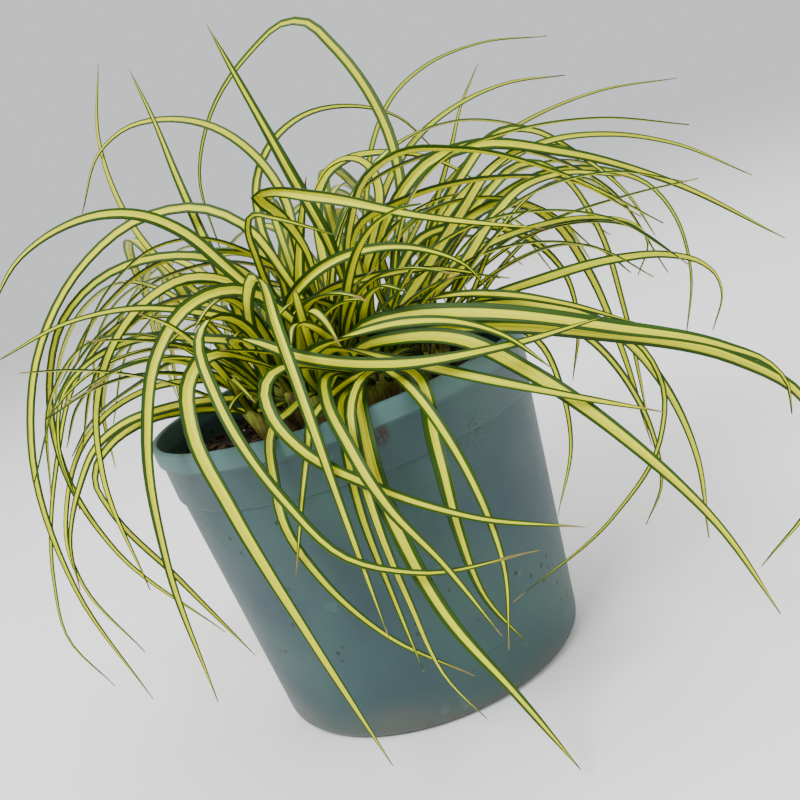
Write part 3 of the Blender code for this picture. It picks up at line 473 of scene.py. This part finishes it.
# %% Streaks along the leaf
LEAF_WIDTH = 4.0
STREAKS = {  # width and length in millimetres, and detail
    "tint": (0.8, 33.33, 2.0), "gold": (0.1333, 125.0, 1.0), "margin": (2.5, 45.45, 2.0),
    "green": (0.4444, 20.0, 2.0), "lines": (0.1818, 83.33, 1.0), "dry_edge": (1.333, 3.333, 2.0),
    "dry": (0.6667, 2.5, 2.0), "ribs": (0.1176, 100.0, 1.0), "polish": (0.5, 20.0, 2.0)}

streak = {}
for name, (width, length, detail) in STREAKS.items():
    drawn_out = add(tree, "Mapping", {"Vector": on_leaf, "Scale": (LEAF_WIDTH / width, 1.0 / length, 1.0)})
    streak[name] = add(tree, "TexNoise", {"Vector": drawn_out, "Scale": 1.0, "Detail": detail})
print("streaks:", ", ".join(streak))

# %% Where each colour of the leaf shows
MARGIN_WAVER = 0.34
DRY_WAVER = 4.0

wave = add(tree, "Math", {0: streak["margin"], 1: 0.5}, operation="SUBTRACT")
margin_edge = add(tree, "Math", {0: wave, 1: MARGIN_WAVER, 2: fact["margin"]}, operation="MULTIPLY_ADD")
margin_from = add(tree, "Math", {0: margin_edge, 1: 0.05}, operation="SUBTRACT")
margin_to = add(tree, "Math", {0: margin_edge, 1: 0.06}, operation="ADD")
dry_edge = add(tree, "Math", {0: streak["dry_edge"], 1: DRY_WAVER, 2: fact["dry"]}, operation="MULTIPLY_ADD")
dry_from = add(tree, "Math", {0: dry_edge, 1: 0.55}, operation="MULTIPLY")

part = {}
# The root mask darkens each leaf towards its root inside the crown, as painted shade.
for name, value, low, high, most in (
        ("tone", fact["tone"], 0.45, 0.95, 1.0), ("gold", streak["gold"], 0.48, 0.62, 0.6),
        ("root", fact["from_root"], 50.0, 12.0, 1.0), ("margin", outward, margin_from, margin_to, 1.0),
        ("edge", outward, 0.9, 1.0, 1.0), ("line", streak["lines"], 0.56, 0.66, 1.0),
        ("outer", outward, 0.12, 0.75, 0.85), ("tip", fact["from_tip"], dry_edge, dry_from, 1.0),
        ("dried", fact["dry"], 0.5, 1.4, 1.0)):
    part[name] = add(tree, "MapRange", {"Value": value, "From Min": low, "From Max": high, "To Max": most},
                     interpolation_type="SMOOTHSTEP")
part["tint"] = add(tree, "Math", {0: streak["tint"], 1: 0.5}, operation="MULTIPLY")
part["lines"] = add(tree, "Math", {0: part["line"], 1: part["outer"]}, operation="MULTIPLY")
# Painted shade on the leaves further back.
part["old"] = add(tree, "Math", {0: fact["back_shade"], 1: 0.6}, operation="MULTIPLY")
part["dry"] = add(tree, "Math", {0: part["tip"], 1: part["dried"]}, operation="MULTIPLY")
print("parts of the leaf:", ", ".join(part))

# %% Colour the leaf
green = "#122a00"
for amount, over in ((streak["green"], "#355a02"), (part["edge"], "#1a3602")):
    green = add(tree, "Mix", {"Factor": amount, "A": green, "B": over}, data_type="RGBA")
# These duller, darker colours are painted shade for the leaves further back.
dull = add(tree, "Mix", {"Factor": part["margin"], "A": "#a8a838", "B": "#5f7a22"}, data_type="RGBA")
dried = add(tree, "Mix", {"Factor": streak["dry"], "A": "#a08c4c", "B": "#5f4c26"}, data_type="RGBA")
striped = "#d2d400"
# The olive root colour is painted shade where the leaves go into the crown.
for amount, over in (
        (part["tone"], "#dadc14"), (part["tint"], "#ecf020"), (part["gold"], "#a89800"),
        (part["root"], "#7f8c06"), (part["lines"], "#4a7208"), (part["margin"], green),
        (part["old"], dull), (part["dry"], dried)):
    striped = add(tree, "Mix", {"Factor": amount, "A": striped, "B": over}, data_type="RGBA")
gloss = add(tree, "MapRange", {"Value": streak["polish"], "To Min": 0.38, "To Max": 0.56})
ribbed = add(tree, "Bump", {"Height": streak["ribs"], "Strength": 0.35, "Distance": 0.3 * MM})
connect(shader, {"Base Color": striped, "Roughness": gloss, "Normal": ribbed})
print("leaf finish:", len(tree.nodes), "nodes")

# %% [markdown]
# ## The sheath's finish
# At its foot each shoot is wrapped in a papery sheath, green where it is alive and brown and stringy where
# it has died. The eye sees it as dull and fibrous beside the smoother leaves. Its fibres run upwards, so its
# noise is drawn out along Z in Object coordinates.

# %% Sheath material
FIBRE = (0.7143, 11.11)
DEAD_PATCH = 11.11
DEAD_BELOW = (116.0, 105.0)

sheath_finish, tree, shader = new_material("papery_sheath", {"Roughness": 0.62, "IOR": 1.4})
where = add(tree, "TexCoord").outputs["Object"]
height = add(tree, "SeparateXYZ", {"Vector": where}).outputs["Z"]
upwards = add(tree, "Mapping", {"Vector": where, "Scale": (
    per_metre(FIBRE[0]), per_metre(FIBRE[0]), per_metre(FIBRE[1]))})
fibre = add(tree, "TexNoise", {"Vector": upwards, "Scale": 1.0, "Detail": 3.0})
patches = add(tree, "TexNoise", {"Vector": where, "Scale": per_metre(DEAD_PATCH), "Detail": 1.0})
strand = add(tree, "MapRange", {"Value": fibre, "From Min": 0.3, "From Max": 0.7})
living = add(tree, "Mix", {"Factor": strand, "A": "#6c8018", "B": "#b8bc50"}, data_type="RGBA")
dead = add(tree, "Mix", {"Factor": strand, "A": "#3a2c12", "B": "#80683a"}, data_type="RGBA")
dead_from, dead_to = (bound * MM for bound in DEAD_BELOW)
low_part = add(tree, "MapRange", {"Value": height, "From Min": dead_from, "From Max": dead_to},
               interpolation_type="SMOOTHSTEP")
withered = add(tree, "MapRange", {"Value": patches, "From Min": 0.5, "From Max": 0.6},
               interpolation_type="SMOOTHSTEP")
dead_part = add(tree, "Math", {0: low_part, 1: withered}, operation="MAXIMUM")
papery = add(tree, "Mix", {"Factor": dead_part, "A": living, "B": dead}, data_type="RGBA")
stringy = add(tree, "Bump", {"Height": fibre, "Strength": 0.5, "Distance": 0.4 * MM})
connect(shader, {"Base Color": papery, "Normal": stringy})
print("sheath finish:", len(tree.nodes), "nodes")

# %% [markdown]
# ## The shoots
# Each shoot becomes one piece: its sheath and its leaves. The thin blades get their thickness, 0.45 mm, from
# a Solidify modifier, which also closes their edges. The sheath is a short cylinder whose top is extruded
# four times. A real one leans, tapers and is fluted by the leaf bases inside, and no operator gives that
# in one go, so the extruded rings are then placed in code.

# %% Helpers for pieces
def new_piece(name, mesh):
    """An object for a mesh."""
    piece = bpy.data.objects.new(name, mesh)
    bpy.context.scene.collection.objects.link(piece)
    return piece


def joined(name, pieces):
    """Joins pieces into the first one."""
    bpy.ops.object.select_all(action="DESELECT")
    for piece in pieces:
        piece.select_set(True)
    bpy.context.view_layer.objects.active = pieces[0]
    if len(pieces) > 1:
        bpy.ops.object.join()
    pieces[0].name = name
    return pieces[0]


def apply_all(piece):
    """Applies every modifier of a piece."""
    only(piece)
    for modifier in list(piece.modifiers):
        bpy.ops.object.modifier_apply(modifier=modifier.name)


def blade_piece(course, facts):
    """A copy of the flat blade, laid on its course."""
    mesh = flat_blade.data.copy()
    mesh.vertices.foreach_set("co", (laid(course) * MM).astype(np.float32).ravel())
    write_attributes(mesh, facts, course)
    mesh.materials.append(leaf_finish)
    return new_piece("blade", mesh)


# %% Model a sheath
SHEATH_SIDES = 14
SHEATH_RADIUS = 3.2
SHEATH_STUB = 5.0
SHEATH_SUNK = 1.5
SHEATH_RINGS = ((3.0, 3.3), (5.0, 3.0), (5.0, 2.7), (2.5, 2.2))
FLUTES = 3
FLUTE_DEPTH = 0.06


def sheath_piece(collar, way):
    """A tapered, fluted stem from below the soil up to where the leaves part."""
    bpy.ops.object.select_all(action="DESELECT")
    bpy.ops.mesh.primitive_cylinder_add(
        vertices=SHEATH_SIDES, radius=SHEATH_RADIUS * MM, depth=SHEATH_STUB * MM)
    piece = bpy.context.object
    bpy.ops.object.mode_set(mode="EDIT")
    bpy.ops.mesh.select_all(action="DESELECT")
    bpy.ops.object.mode_set(mode="OBJECT")
    for vertex in piece.data.vertices:
        vertex.select = vertex.co.z > 0.0
    bpy.ops.object.mode_set(mode="EDIT")
    for _ in SHEATH_RINGS:
        bpy.ops.mesh.extrude_region_move(TRANSFORM_OT_translate={"value": (0.0, 0.0, MM)})
    bpy.ops.object.mode_set(mode="OBJECT")

    points = np.array([vertex.co for vertex in piece.data.vertices]) / MM
    turn = np.arctan2(points[:, 1], points[:, 0])
    ring_number = np.round(points[:, 2] - SHEATH_STUB / 2).astype(int)
    centre = collar - (0.0, 0.0, SHEATH_SUNK)
    points += centre - (0.0, 0.0, SHEATH_STUB / 2)
    for number, (step, radius) in enumerate(SHEATH_RINGS, 1):
        centre = centre + way * step
        ring = ring_number == number
        fluted = radius * (1 + FLUTE_DEPTH * np.sin(FLUTES * turn[ring] + centre[0]))
        around = np.stack([np.cos(turn[ring]), np.sin(turn[ring]), np.zeros(ring.sum())], axis=1)
        points[ring] = centre + fluted[:, None] * around
    piece.data.vertices.foreach_set("co", (points * MM).astype(np.float32).ravel())
    piece.data.materials.append(sheath_finish)
    return piece


print("sheath:", SHEATH_STUB + sum(step for step, _ in SHEATH_RINGS), "mm tall")

# %% Make the shoots
LEAF_THICKNESS = 0.45
LEAF_CREASE = math.radians(50)

shoots = []
for name in shoot_names:
    leaves = [blade_piece(course, character(tip, course))
              for (tip, _), course in zip(blades[name], courses[name])]
    piece = joined("leaves_" + name[-2:], leaves)
    solidify = piece.modifiers.new("thickness", "SOLIDIFY")
    solidify.thickness = LEAF_THICKNESS * MM
    solidify.offset = 0.0
    apply_all(piece)
    piece = joined(piece.name, [piece, sheath_piece(*sheaths[name])])
    bpy.ops.object.shade_smooth_by_angle(angle=LEAF_CREASE)
    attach(piece, "root")
    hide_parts(name)
    shoots.append(piece)
bpy.data.objects.remove(flat_blade, do_unlink=True)
print("shoots:", len(shoots), "pieces,", sum(len(piece.data.polygons) for piece in shoots), "faces")

# %% [markdown]
# ## The pot
# A nursery pot like this is injection moulded from thin polypropylene. It is a turned form, so it could be
# spun from a profile. Here a circle is extruded ring by ring up the outside, over the lip and down the
# inside, which reads like the wall itself. Short rings round the heel and the lip, and a Boolean modifier
# cuts eight drain holes through the base.

# %% A turned form, ring by ring
def ring_by_ring(name, profile, sides):
    """A closed turned form, from the middle of its base round to the middle of its floor or top."""
    bpy.ops.object.select_all(action="DESELECT")
    radius, height = profile[0]
    bpy.ops.mesh.primitive_circle_add(vertices=sides, radius=radius * MM, location=(0, 0, height * MM))
    piece = bpy.context.object
    piece.name = name
    bpy.ops.object.transform_apply(location=True, rotation=True, scale=True)
    bpy.ops.object.mode_set(mode="EDIT")
    bpy.ops.mesh.select_all(action="SELECT")
    bpy.ops.mesh.edge_face_add()
    for next_radius, next_height in profile[1:]:
        bpy.ops.mesh.extrude_edges_move(TRANSFORM_OT_translate={"value": (0, 0, (next_height - height) * MM)})
        grow = next_radius / radius
        bpy.ops.transform.resize(value=(grow, grow, 1.0), center_override=(0, 0, next_height * MM))
        radius, height = next_radius, next_height
    bpy.ops.mesh.edge_face_add()
    bpy.ops.mesh.select_all(action="SELECT")
    bpy.ops.mesh.normals_make_consistent(inside=False)
    bpy.ops.object.mode_set(mode="OBJECT")
    return piece


# %% Model the pot
POT_SIDES = 160
OUTSIDE = (  # radius and height in millimetres
    (18.0, 0.0), (19.5, 1.5), (46.5, 1.5), (48.0, 0.0), (53.5, 0.0), (55.6, 1.1), (56.9, 2.8), (57.5, 5.0),
    (62.0, 50.0), (66.4, 93.3), (67.0, 93.6), (67.6, 94.5), (68.4, 107.6), (68.7, 108.1), (69.7, 108.5),
    (69.9, 111.5), (70.0, 114.0), (69.8, 114.7), (69.3, 115.0))
INSIDE = (
    (68.4, 115.0), (67.9, 114.6), (67.8, 114.0), (67.1, 107.5), (66.3, 95.1), (65.1, 93.9), (60.7, 50.0),
    (56.2, 5.8), (55.0, 3.6), (52.9, 2.8), (20.0, 2.8))

pot = ring_by_ring("nursery_pot", OUTSIDE + INSIDE, POT_SIDES)
print("pot:", len(pot.data.polygons), "faces")

# %% Drill the drain holes
HOLES = 8
HOLE_CIRCLE = 37.0
HOLE_RADIUS = 4.0
DRILL_SIDES = 24
DRILL_LENGTH = 10.0
DRILL_HEIGHT = 2.0
POT_CREASE = math.radians(32)

bpy.ops.object.select_all(action="DESELECT")
drills = []
for hole in range(HOLES):
    turn = 2 * math.pi * (hole + 0.5) / HOLES
    bpy.ops.mesh.primitive_cylinder_add(
        vertices=DRILL_SIDES, radius=HOLE_RADIUS * MM, depth=DRILL_LENGTH * MM,
        location=(HOLE_CIRCLE * MM * math.cos(turn), HOLE_CIRCLE * MM * math.sin(turn), DRILL_HEIGHT * MM))
    drills.append(bpy.context.object)
drill = joined("drill", drills)
cut = pot.modifiers.new("drain holes", "BOOLEAN")
cut.object = drill
apply_all(pot)
bpy.data.objects.remove(drill, do_unlink=True)
bpy.ops.object.shade_smooth_by_angle(angle=POT_CREASE)
print("drilled pot:", len(pot.data.polygons), "faces")

# %% [markdown]
# ## The pot's finish
# Matt injection-moulded polypropylene, dyed a grey teal. It is nearly even in colour, with a soft sheen that
# broadens over the curve. Handling leaves pale scuffs, and fine dark scratches run slantwise. Soil has left a
# smear on the rim, a rubbed place beside it, dots of dirt on the wall and a dusty brown foot. The band round
# the rim is painted lighter, as painted light. Each of these is one mask, and the colours are laid over each
# other in turn.

# %% Patterns on the pot
CLOUD = 45.45
SCRATCH = (40.0, 1.923)
SCRATCH_SLANT = math.radians(28)
SCRATCHED_PLACE = 71.43
SCUFF = 16.667
GRAIN = 1.1111
DOT_SPACING = 6.6667
DOTTED_PLACE = 33.333

pot_finish, tree, shader = new_material("moulded_polypropylene", {"IOR": 1.49, "Specular IOR Level": 0.32})
where = add(tree, "TexCoord").outputs["Object"]
height = add(tree, "SeparateXYZ", {"Vector": where}).outputs["Z"]
cloud = add(tree, "TexNoise", {"Vector": where, "Scale": per_metre(CLOUD), "Detail": 4.0})
slant = add(tree, "Mapping", {"Vector": where, "Rotation": (0.0, SCRATCH_SLANT, 0.0), "Scale": (
    per_metre(SCRATCH[0]), per_metre(SCRATCH[0]), per_metre(SCRATCH[1]))})
scratch = add(tree, "TexNoise", {"Vector": slant, "Scale": 1.0, "Detail": 1.0, "Distortion": 0.15})
scratched = add(tree, "TexNoise", {"Vector": where, "Scale": per_metre(SCRATCHED_PLACE), "Detail": 1.0})
scuff = add(tree, "TexNoise", {"Vector": where, "Scale": per_metre(SCUFF), "Detail": 6.0, "Roughness": 0.7})
grain = add(tree, "TexNoise", {"Vector": where, "Scale": per_metre(GRAIN), "Detail": 2.0})
dot = add(tree, "TexVoronoi", {"Vector": where, "Scale": per_metre(DOT_SPACING)})
dotted = add(tree, "TexNoise", {"Vector": where, "Scale": per_metre(DOTTED_PLACE), "Detail": 1.0})
print("patterns on the pot:", len(tree.nodes), "nodes")

# %% Where each mark on the pot shows
LIT_RIM_BAND = (106.5, 109.2)
FOOT_DUST = (16.0, -4.0)
DUST_WAVER = 50.0
SMEAR = ((10.6, -67.4, 105.8), 4.6)
RUBBED = ((40.0, -54.0, 94.0), 8.0)
RAGGED = 12.0
SOLID_PART = 0.3

ragged = add(tree, "Math", {0: scuff, 1: 0.5}, operation="SUBTRACT")
ragged = add(tree, "Math", {0: ragged, 1: RAGGED * MM}, operation="MULTIPLY")
uneven = add(tree, "Math", {0: cloud, 1: 0.5}, operation="SUBTRACT")
dust_height = add(tree, "Math", {0: uneven, 1: DUST_WAVER * MM, 2: height}, operation="MULTIPLY_ADD")
spread = {}
for name, (centre, radius) in (("smear", SMEAR), ("rubbed", RUBBED)):
    away = add(tree, "VectorMath", {0: where, 1: tuple(c * MM for c in centre)}, operation="DISTANCE")
    spread[name] = add(tree, "Math", {0: away, 1: ragged}, operation="ADD")

part = {}
for name, value, low, high, most in (
        # The rim band is painted lighter than the wall: painted light.
        ("rim", height, LIT_RIM_BAND[0] * MM, LIT_RIM_BAND[1] * MM, 0.6),
        ("foot", dust_height, FOOT_DUST[0] * MM, FOOT_DUST[1] * MM, 0.35),
        ("scratch", scratch, 0.735, 0.75, 0.55), ("scratched", scratched, 0.5, 0.62, 1.0),
        ("scuff", scuff, 0.6, 0.72, 0.2),
        ("smear", spread["smear"], SMEAR[1] * MM, SMEAR[1] * MM * SOLID_PART, 0.9),
        ("thick crumbs", grain, 0.36, 0.5, 1.0),
        ("rubbed", spread["rubbed"], RUBBED[1] * MM, RUBBED[1] * MM * SOLID_PART, 0.7),
        ("thin crumbs", grain, 0.54, 0.62, 1.0),
        ("dot", dot, 0.17, 0.1, 0.8), ("dotted", dotted, 0.48, 0.56, 1.0)):
    part[name] = add(tree, "MapRange", {"Value": value, "From Min": low, "From Max": high, "To Max": most},
                     interpolation_type="SMOOTHSTEP")
for mark, place in (
        ("scratch", "scratched"), ("smear", "thick crumbs"), ("rubbed", "thin crumbs"), ("dot", "dotted")):
    part[mark] = add(tree, "Math", {0: part[mark], 1: part[place]}, operation="MULTIPLY")
print("marks on the pot:", ", ".join(part))

# %% Colour the pot
clouded = add(tree, "MapRange", {"Value": cloud, "From Min": 0.3, "From Max": 0.7})
plastic = add(tree, "Mix", {"Factor": clouded, "A": "#283c44", "B": "#34504c"}, data_type="RGBA")
# The first colour is painted light on the rim band; the rest are marks on the plastic.
for mark, over in (
        ("rim", "#4f716d"), ("scratch", "#223a3c"), ("scuff", "#64827f"), ("smear", "#2e2114"),
        ("rubbed", "#1e2a28"), ("dot", "#1c1e1a"), ("foot", "#6a6450")):
    plastic = add(tree, "Mix", {"Factor": part[mark], "A": plastic, "B": over}, data_type="RGBA")
gloss = add(tree, "MapRange", {"Value": scuff, "To Min": 0.40, "To Max": 0.58})
grained = add(tree, "Bump", {"Height": grain, "Strength": 0.12, "Distance": 0.3 * MM})
connect(shader, {"Base Color": plastic, "Roughness": gloss, "Normal": grained})
pot.data.materials.append(pot_finish)
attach(pot, "root")
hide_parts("pot")
print("pot finish:", len(tree.nodes), "nodes")

# %% [markdown]
# ## The potting mix
# Potting mix is a heap of crumbs: dark peat, a little bark and some pale grit. A noise texture on a flat disc
# would look painted, so the bed gets real bumps from two Displace modifiers, and about a thousand few-sided
# crumbs, modelled once and copied, are strewn on top.

# %% Model the bed of soil
SOIL_TOP = 102.0
BED_SIDES = 120
BED_SIDE = ((18.0, 3.4), (50.0, 3.4), (54.5, 6.6), (60.2, 50.0), (64.7, 93.0), (65.9, 99.5), (64.6, 101.2))
BED_EDGE = 64.0
BED_STEP = 1.6
BED_RINGS = 39
BED_TOP = tuple((BED_EDGE - BED_STEP * k, SOIL_TOP) for k in range(BED_RINGS))
TOP_DEPTH = 0.5

soil = ring_by_ring("potting_mix", BED_SIDE + BED_TOP, BED_SIDES)
top_points = soil.vertex_groups.new(name="top")
top_level = (SOIL_TOP - TOP_DEPTH) * MM
top_points.add([vertex.index for vertex in soil.data.vertices if vertex.co.z > top_level], 1.0, "REPLACE")
print("soil:", len(soil.data.polygons), "faces")

# %% Roughen its top
BUMPS = (("lumps", 11.0, 3.2), ("crumble", 2.8, 2.4))  # size and height in millimetres
BUMP_LEVEL = 0.55
SOIL_CREASE = math.radians(60)

for name, size, strength in BUMPS:
    texture = bpy.data.textures.new(name, "CLOUDS")
    texture.noise_scale = size * MM
    texture.noise_depth = 2
    displace = soil.modifiers.new(name, "DISPLACE")
    displace.texture = texture
    displace.texture_coords = "LOCAL"
    displace.direction = "Z"
    displace.strength = strength * MM
    displace.mid_level = BUMP_LEVEL
    displace.vertex_group = "top"
apply_all(soil)
bpy.ops.object.shade_smooth_by_angle(angle=SOIL_CREASE)
soil_points = np.array([vertex.co for vertex in soil.data.vertices]) / MM
print("soil top:", round(soil_points[:, 2].max(), 1), "mm")

# %% Model one crumb
bpy.ops.object.select_all(action="DESELECT")
bpy.ops.mesh.primitive_ico_sphere_add(subdivisions=1, radius=MM)
crumb = bpy.context.object
crumb_points = np.array([vertex.co for vertex in crumb.data.vertices]) / MM
crumb_faces = [tuple(face.vertices) for face in crumb.data.polygons]
bpy.data.objects.remove(crumb, do_unlink=True)
print("crumb:", len(crumb_faces), "faces")

# %% Strew crumbs
STREWN_RADIUS = 64.0
STEM_ROOM = 4.0
CRUMB_LENGTHS = (0.7, 1.5)
CRUMB_WIDTHS = (0.6, 1.1)
CRUMB_ROUGHNESS = (0.75, 1.2)
CRUMB_LIFT = 0.25
HIGHER_FIRST = 0.001
DEEPEST = 2.0
CRUMB_CREASE = math.radians(30)
soil_random = random.Random(7)
feet = [sheaths[name][0] for name in shoot_names]


def lying_crumb(x, y, size, flat, spin):
    """The points of one crumb, stretched, roughened, turned and sunk a little into the bed."""
    stretch = np.array([soil_random.uniform(*CRUMB_LENGTHS), soil_random.uniform(*CRUMB_WIDTHS), flat]) * size
    rough = np.array([soil_random.uniform(*CRUMB_ROUGHNESS) for _ in crumb_points])[:, None]
    shape = crumb_points * rough * stretch
    turned = np.array([[math.cos(spin), math.sin(spin)], [-math.sin(spin), math.cos(spin)]])
    shape[:, :2] = shape[:, :2] @ turned
    away = np.hypot(*(soil_points[:, :2] - (x, y)).T)
    ground = soil_points[np.argmin(away - soil_points[:, 2] * HIGHER_FIRST), 2]
    return shape + (x, y, max(ground, SOIL_TOP - DEEPEST) + size * flat * CRUMB_LIFT)


def strewn(name, count, small, large, flat, finish):
    """Many copies of one crumb on the bed, clear of the stems."""
    points, faces = [], []
    while len(faces) < count * len(crumb_faces):
        reach = STREWN_RADIUS * math.sqrt(soil_random.random())
        turn = soil_random.uniform(0, 2 * math.pi)
        x, y = reach * math.cos(turn), reach * math.sin(turn)
        size = soil_random.uniform(small, large)
        spin = soil_random.uniform(0, math.pi)
        if min(math.hypot(x - foot[0], y - foot[1]) for foot in feet) < STEM_ROOM:
            continue
        faces += [tuple(k + len(points) for k in face) for face in crumb_faces]
        points += list(lying_crumb(x, y, size, flat, spin) * MM)
    mesh = bpy.data.meshes.new(name)
    mesh.from_pydata([tuple(p) for p in points], [], faces)
    mesh.materials.append(finish)
    piece = new_piece(name, mesh)
    only(piece)
    bpy.ops.object.shade_smooth_by_angle(angle=CRUMB_CREASE)
    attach(piece, "root")
    return piece


# %% [markdown]
# ## Finishes for peat, bark and grit
# Damp peat is almost black brown and dull, with a few lighter fibres. Bark chips are lighter and redder.
# Perlite grit is off white and porous. All three are dull and crumbly, so they share one recipe: noise in
# Object coordinates at four times the size of a grain, whose finer detail then shows the grain itself.

# %% Soil materials
def earthy(name, dark, light, grain_size, roughness):
    """A dull crumbly material whose grain is grain_size millimetres."""
    finish, tree, shader = new_material(
        name, {"Roughness": roughness, "IOR": 1.4, "Specular IOR Level": 0.25})
    where = add(tree, "TexCoord").outputs["Object"]
    noise = add(tree, "TexNoise", {
        "Vector": where, "Scale": per_metre(4 * grain_size), "Detail": 5.0, "Roughness": 0.65})
    lightness = add(tree, "MapRange", {"Value": noise, "From Min": 0.35, "From Max": 0.72})
    earth = add(tree, "Mix", {"Factor": lightness, "A": dark, "B": light}, data_type="RGBA")
    bumps = add(tree, "Bump", {"Height": noise, "Strength": 0.8, "Distance": 0.8 * MM})
    connect(shader, {"Base Color": earth, "Normal": bumps})
    return finish


peat = earthy("damp_peat", "#100c07", "#35291a", 1.2, 0.9)
bark = earthy("bark_chip", "#22170a", "#5a4326", 1.0, 0.8)
perlite = earthy("perlite_grit", "#a8a294", "#d8d4c8", 0.8, 0.85)
soil.data.materials.append(peat)
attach(soil, "root")
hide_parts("soil")
crumbs = strewn("peat_crumbs", 900, 0.5, 1.9, 0.75, peat)
chips = strewn("bark_chips", 90, 1.2, 3.0, 0.35, bark)
grit = strewn("perlite_grains", 60, 0.4, 0.9, 0.9, perlite)
print("crumbs, chips and grit:", *(len(piece.data.polygons) for piece in (crumbs, chips, grit)), "faces")

# %% [markdown]
# ## Floor and light
# A plain floor of matt paper and three large soft lights, as in a small studio. The key light is high on the
# left, in front, because the leaves in the photograph are bright on their upper faces and the pot's right is
# darker.

# %% Floor
FLOOR_SIDE = 6.0
FLOOR_DROP = 0.2
PAPER_CLOUD = 333.3

bpy.ops.object.select_all(action="DESELECT")
bpy.ops.mesh.primitive_plane_add(size=FLOOR_SIDE, location=(0.0, 0.0, -FLOOR_DROP * MM))
floor = bpy.context.object
floor.name = "floor"
bpy.ops.object.transform_apply(location=True, rotation=True, scale=True)
floor_finish, tree, shader = new_material(
    "pale_backdrop_paper", {"Roughness": 0.9, "Specular IOR Level": 0.1})
where = add(tree, "TexCoord").outputs["Object"]
cloud = add(tree, "TexNoise", {"Vector": where, "Scale": per_metre(PAPER_CLOUD), "Detail": 2.0})
clouded = add(tree, "MapRange", {"Value": cloud, "From Min": 0.3, "From Max": 0.7})
paper = add(tree, "Mix", {"Factor": clouded, "A": "#fbfbfa", "B": "#fdfdfc"}, data_type="RGBA")
connect(shader, {"Base Color": paper})
floor.data.materials.append(floor_finish)
floor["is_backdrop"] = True
print("floor:", FLOOR_SIDE, "m a side")

# %% Lights and world
SHINE_ON = (0.0, 0.0, 0.1)
WORLD_STRENGTH = 0.9


def soft_light(name, place, size, power):
    """A square area light that faces the object."""
    bpy.ops.object.light_add(type="AREA", location=place)
    lamp = bpy.context.object
    lamp.name = name
    lamp.data.size = size
    lamp.data.energy = power
    away = np.array(place) - np.array(SHINE_ON)
    flat = math.hypot(away[0], away[1])
    lamp.rotation_euler = (math.atan2(flat, away[2]), 0.0, math.atan2(away[0], -away[1]))


soft_light("key", (-0.5, -0.8, 1.1), 0.5, 21.0)
soft_light("fill", (0.9, -0.6, 0.5), 1.0, 3.0)
soft_light("top", (0.1, 0.5, 1.2), 0.8, 8.0)
world = bpy.data.worlds.new("studio")
world.use_nodes = True
connect(world.node_tree.nodes["Background"], {"Color": "#f4f6f8", "Strength": WORLD_STRENGTH})
bpy.context.scene.world = world

# %% Print the size
low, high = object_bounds()
print("size:", [round((b - a) / MM, 1) for a, b in zip(low, high)], "mm")
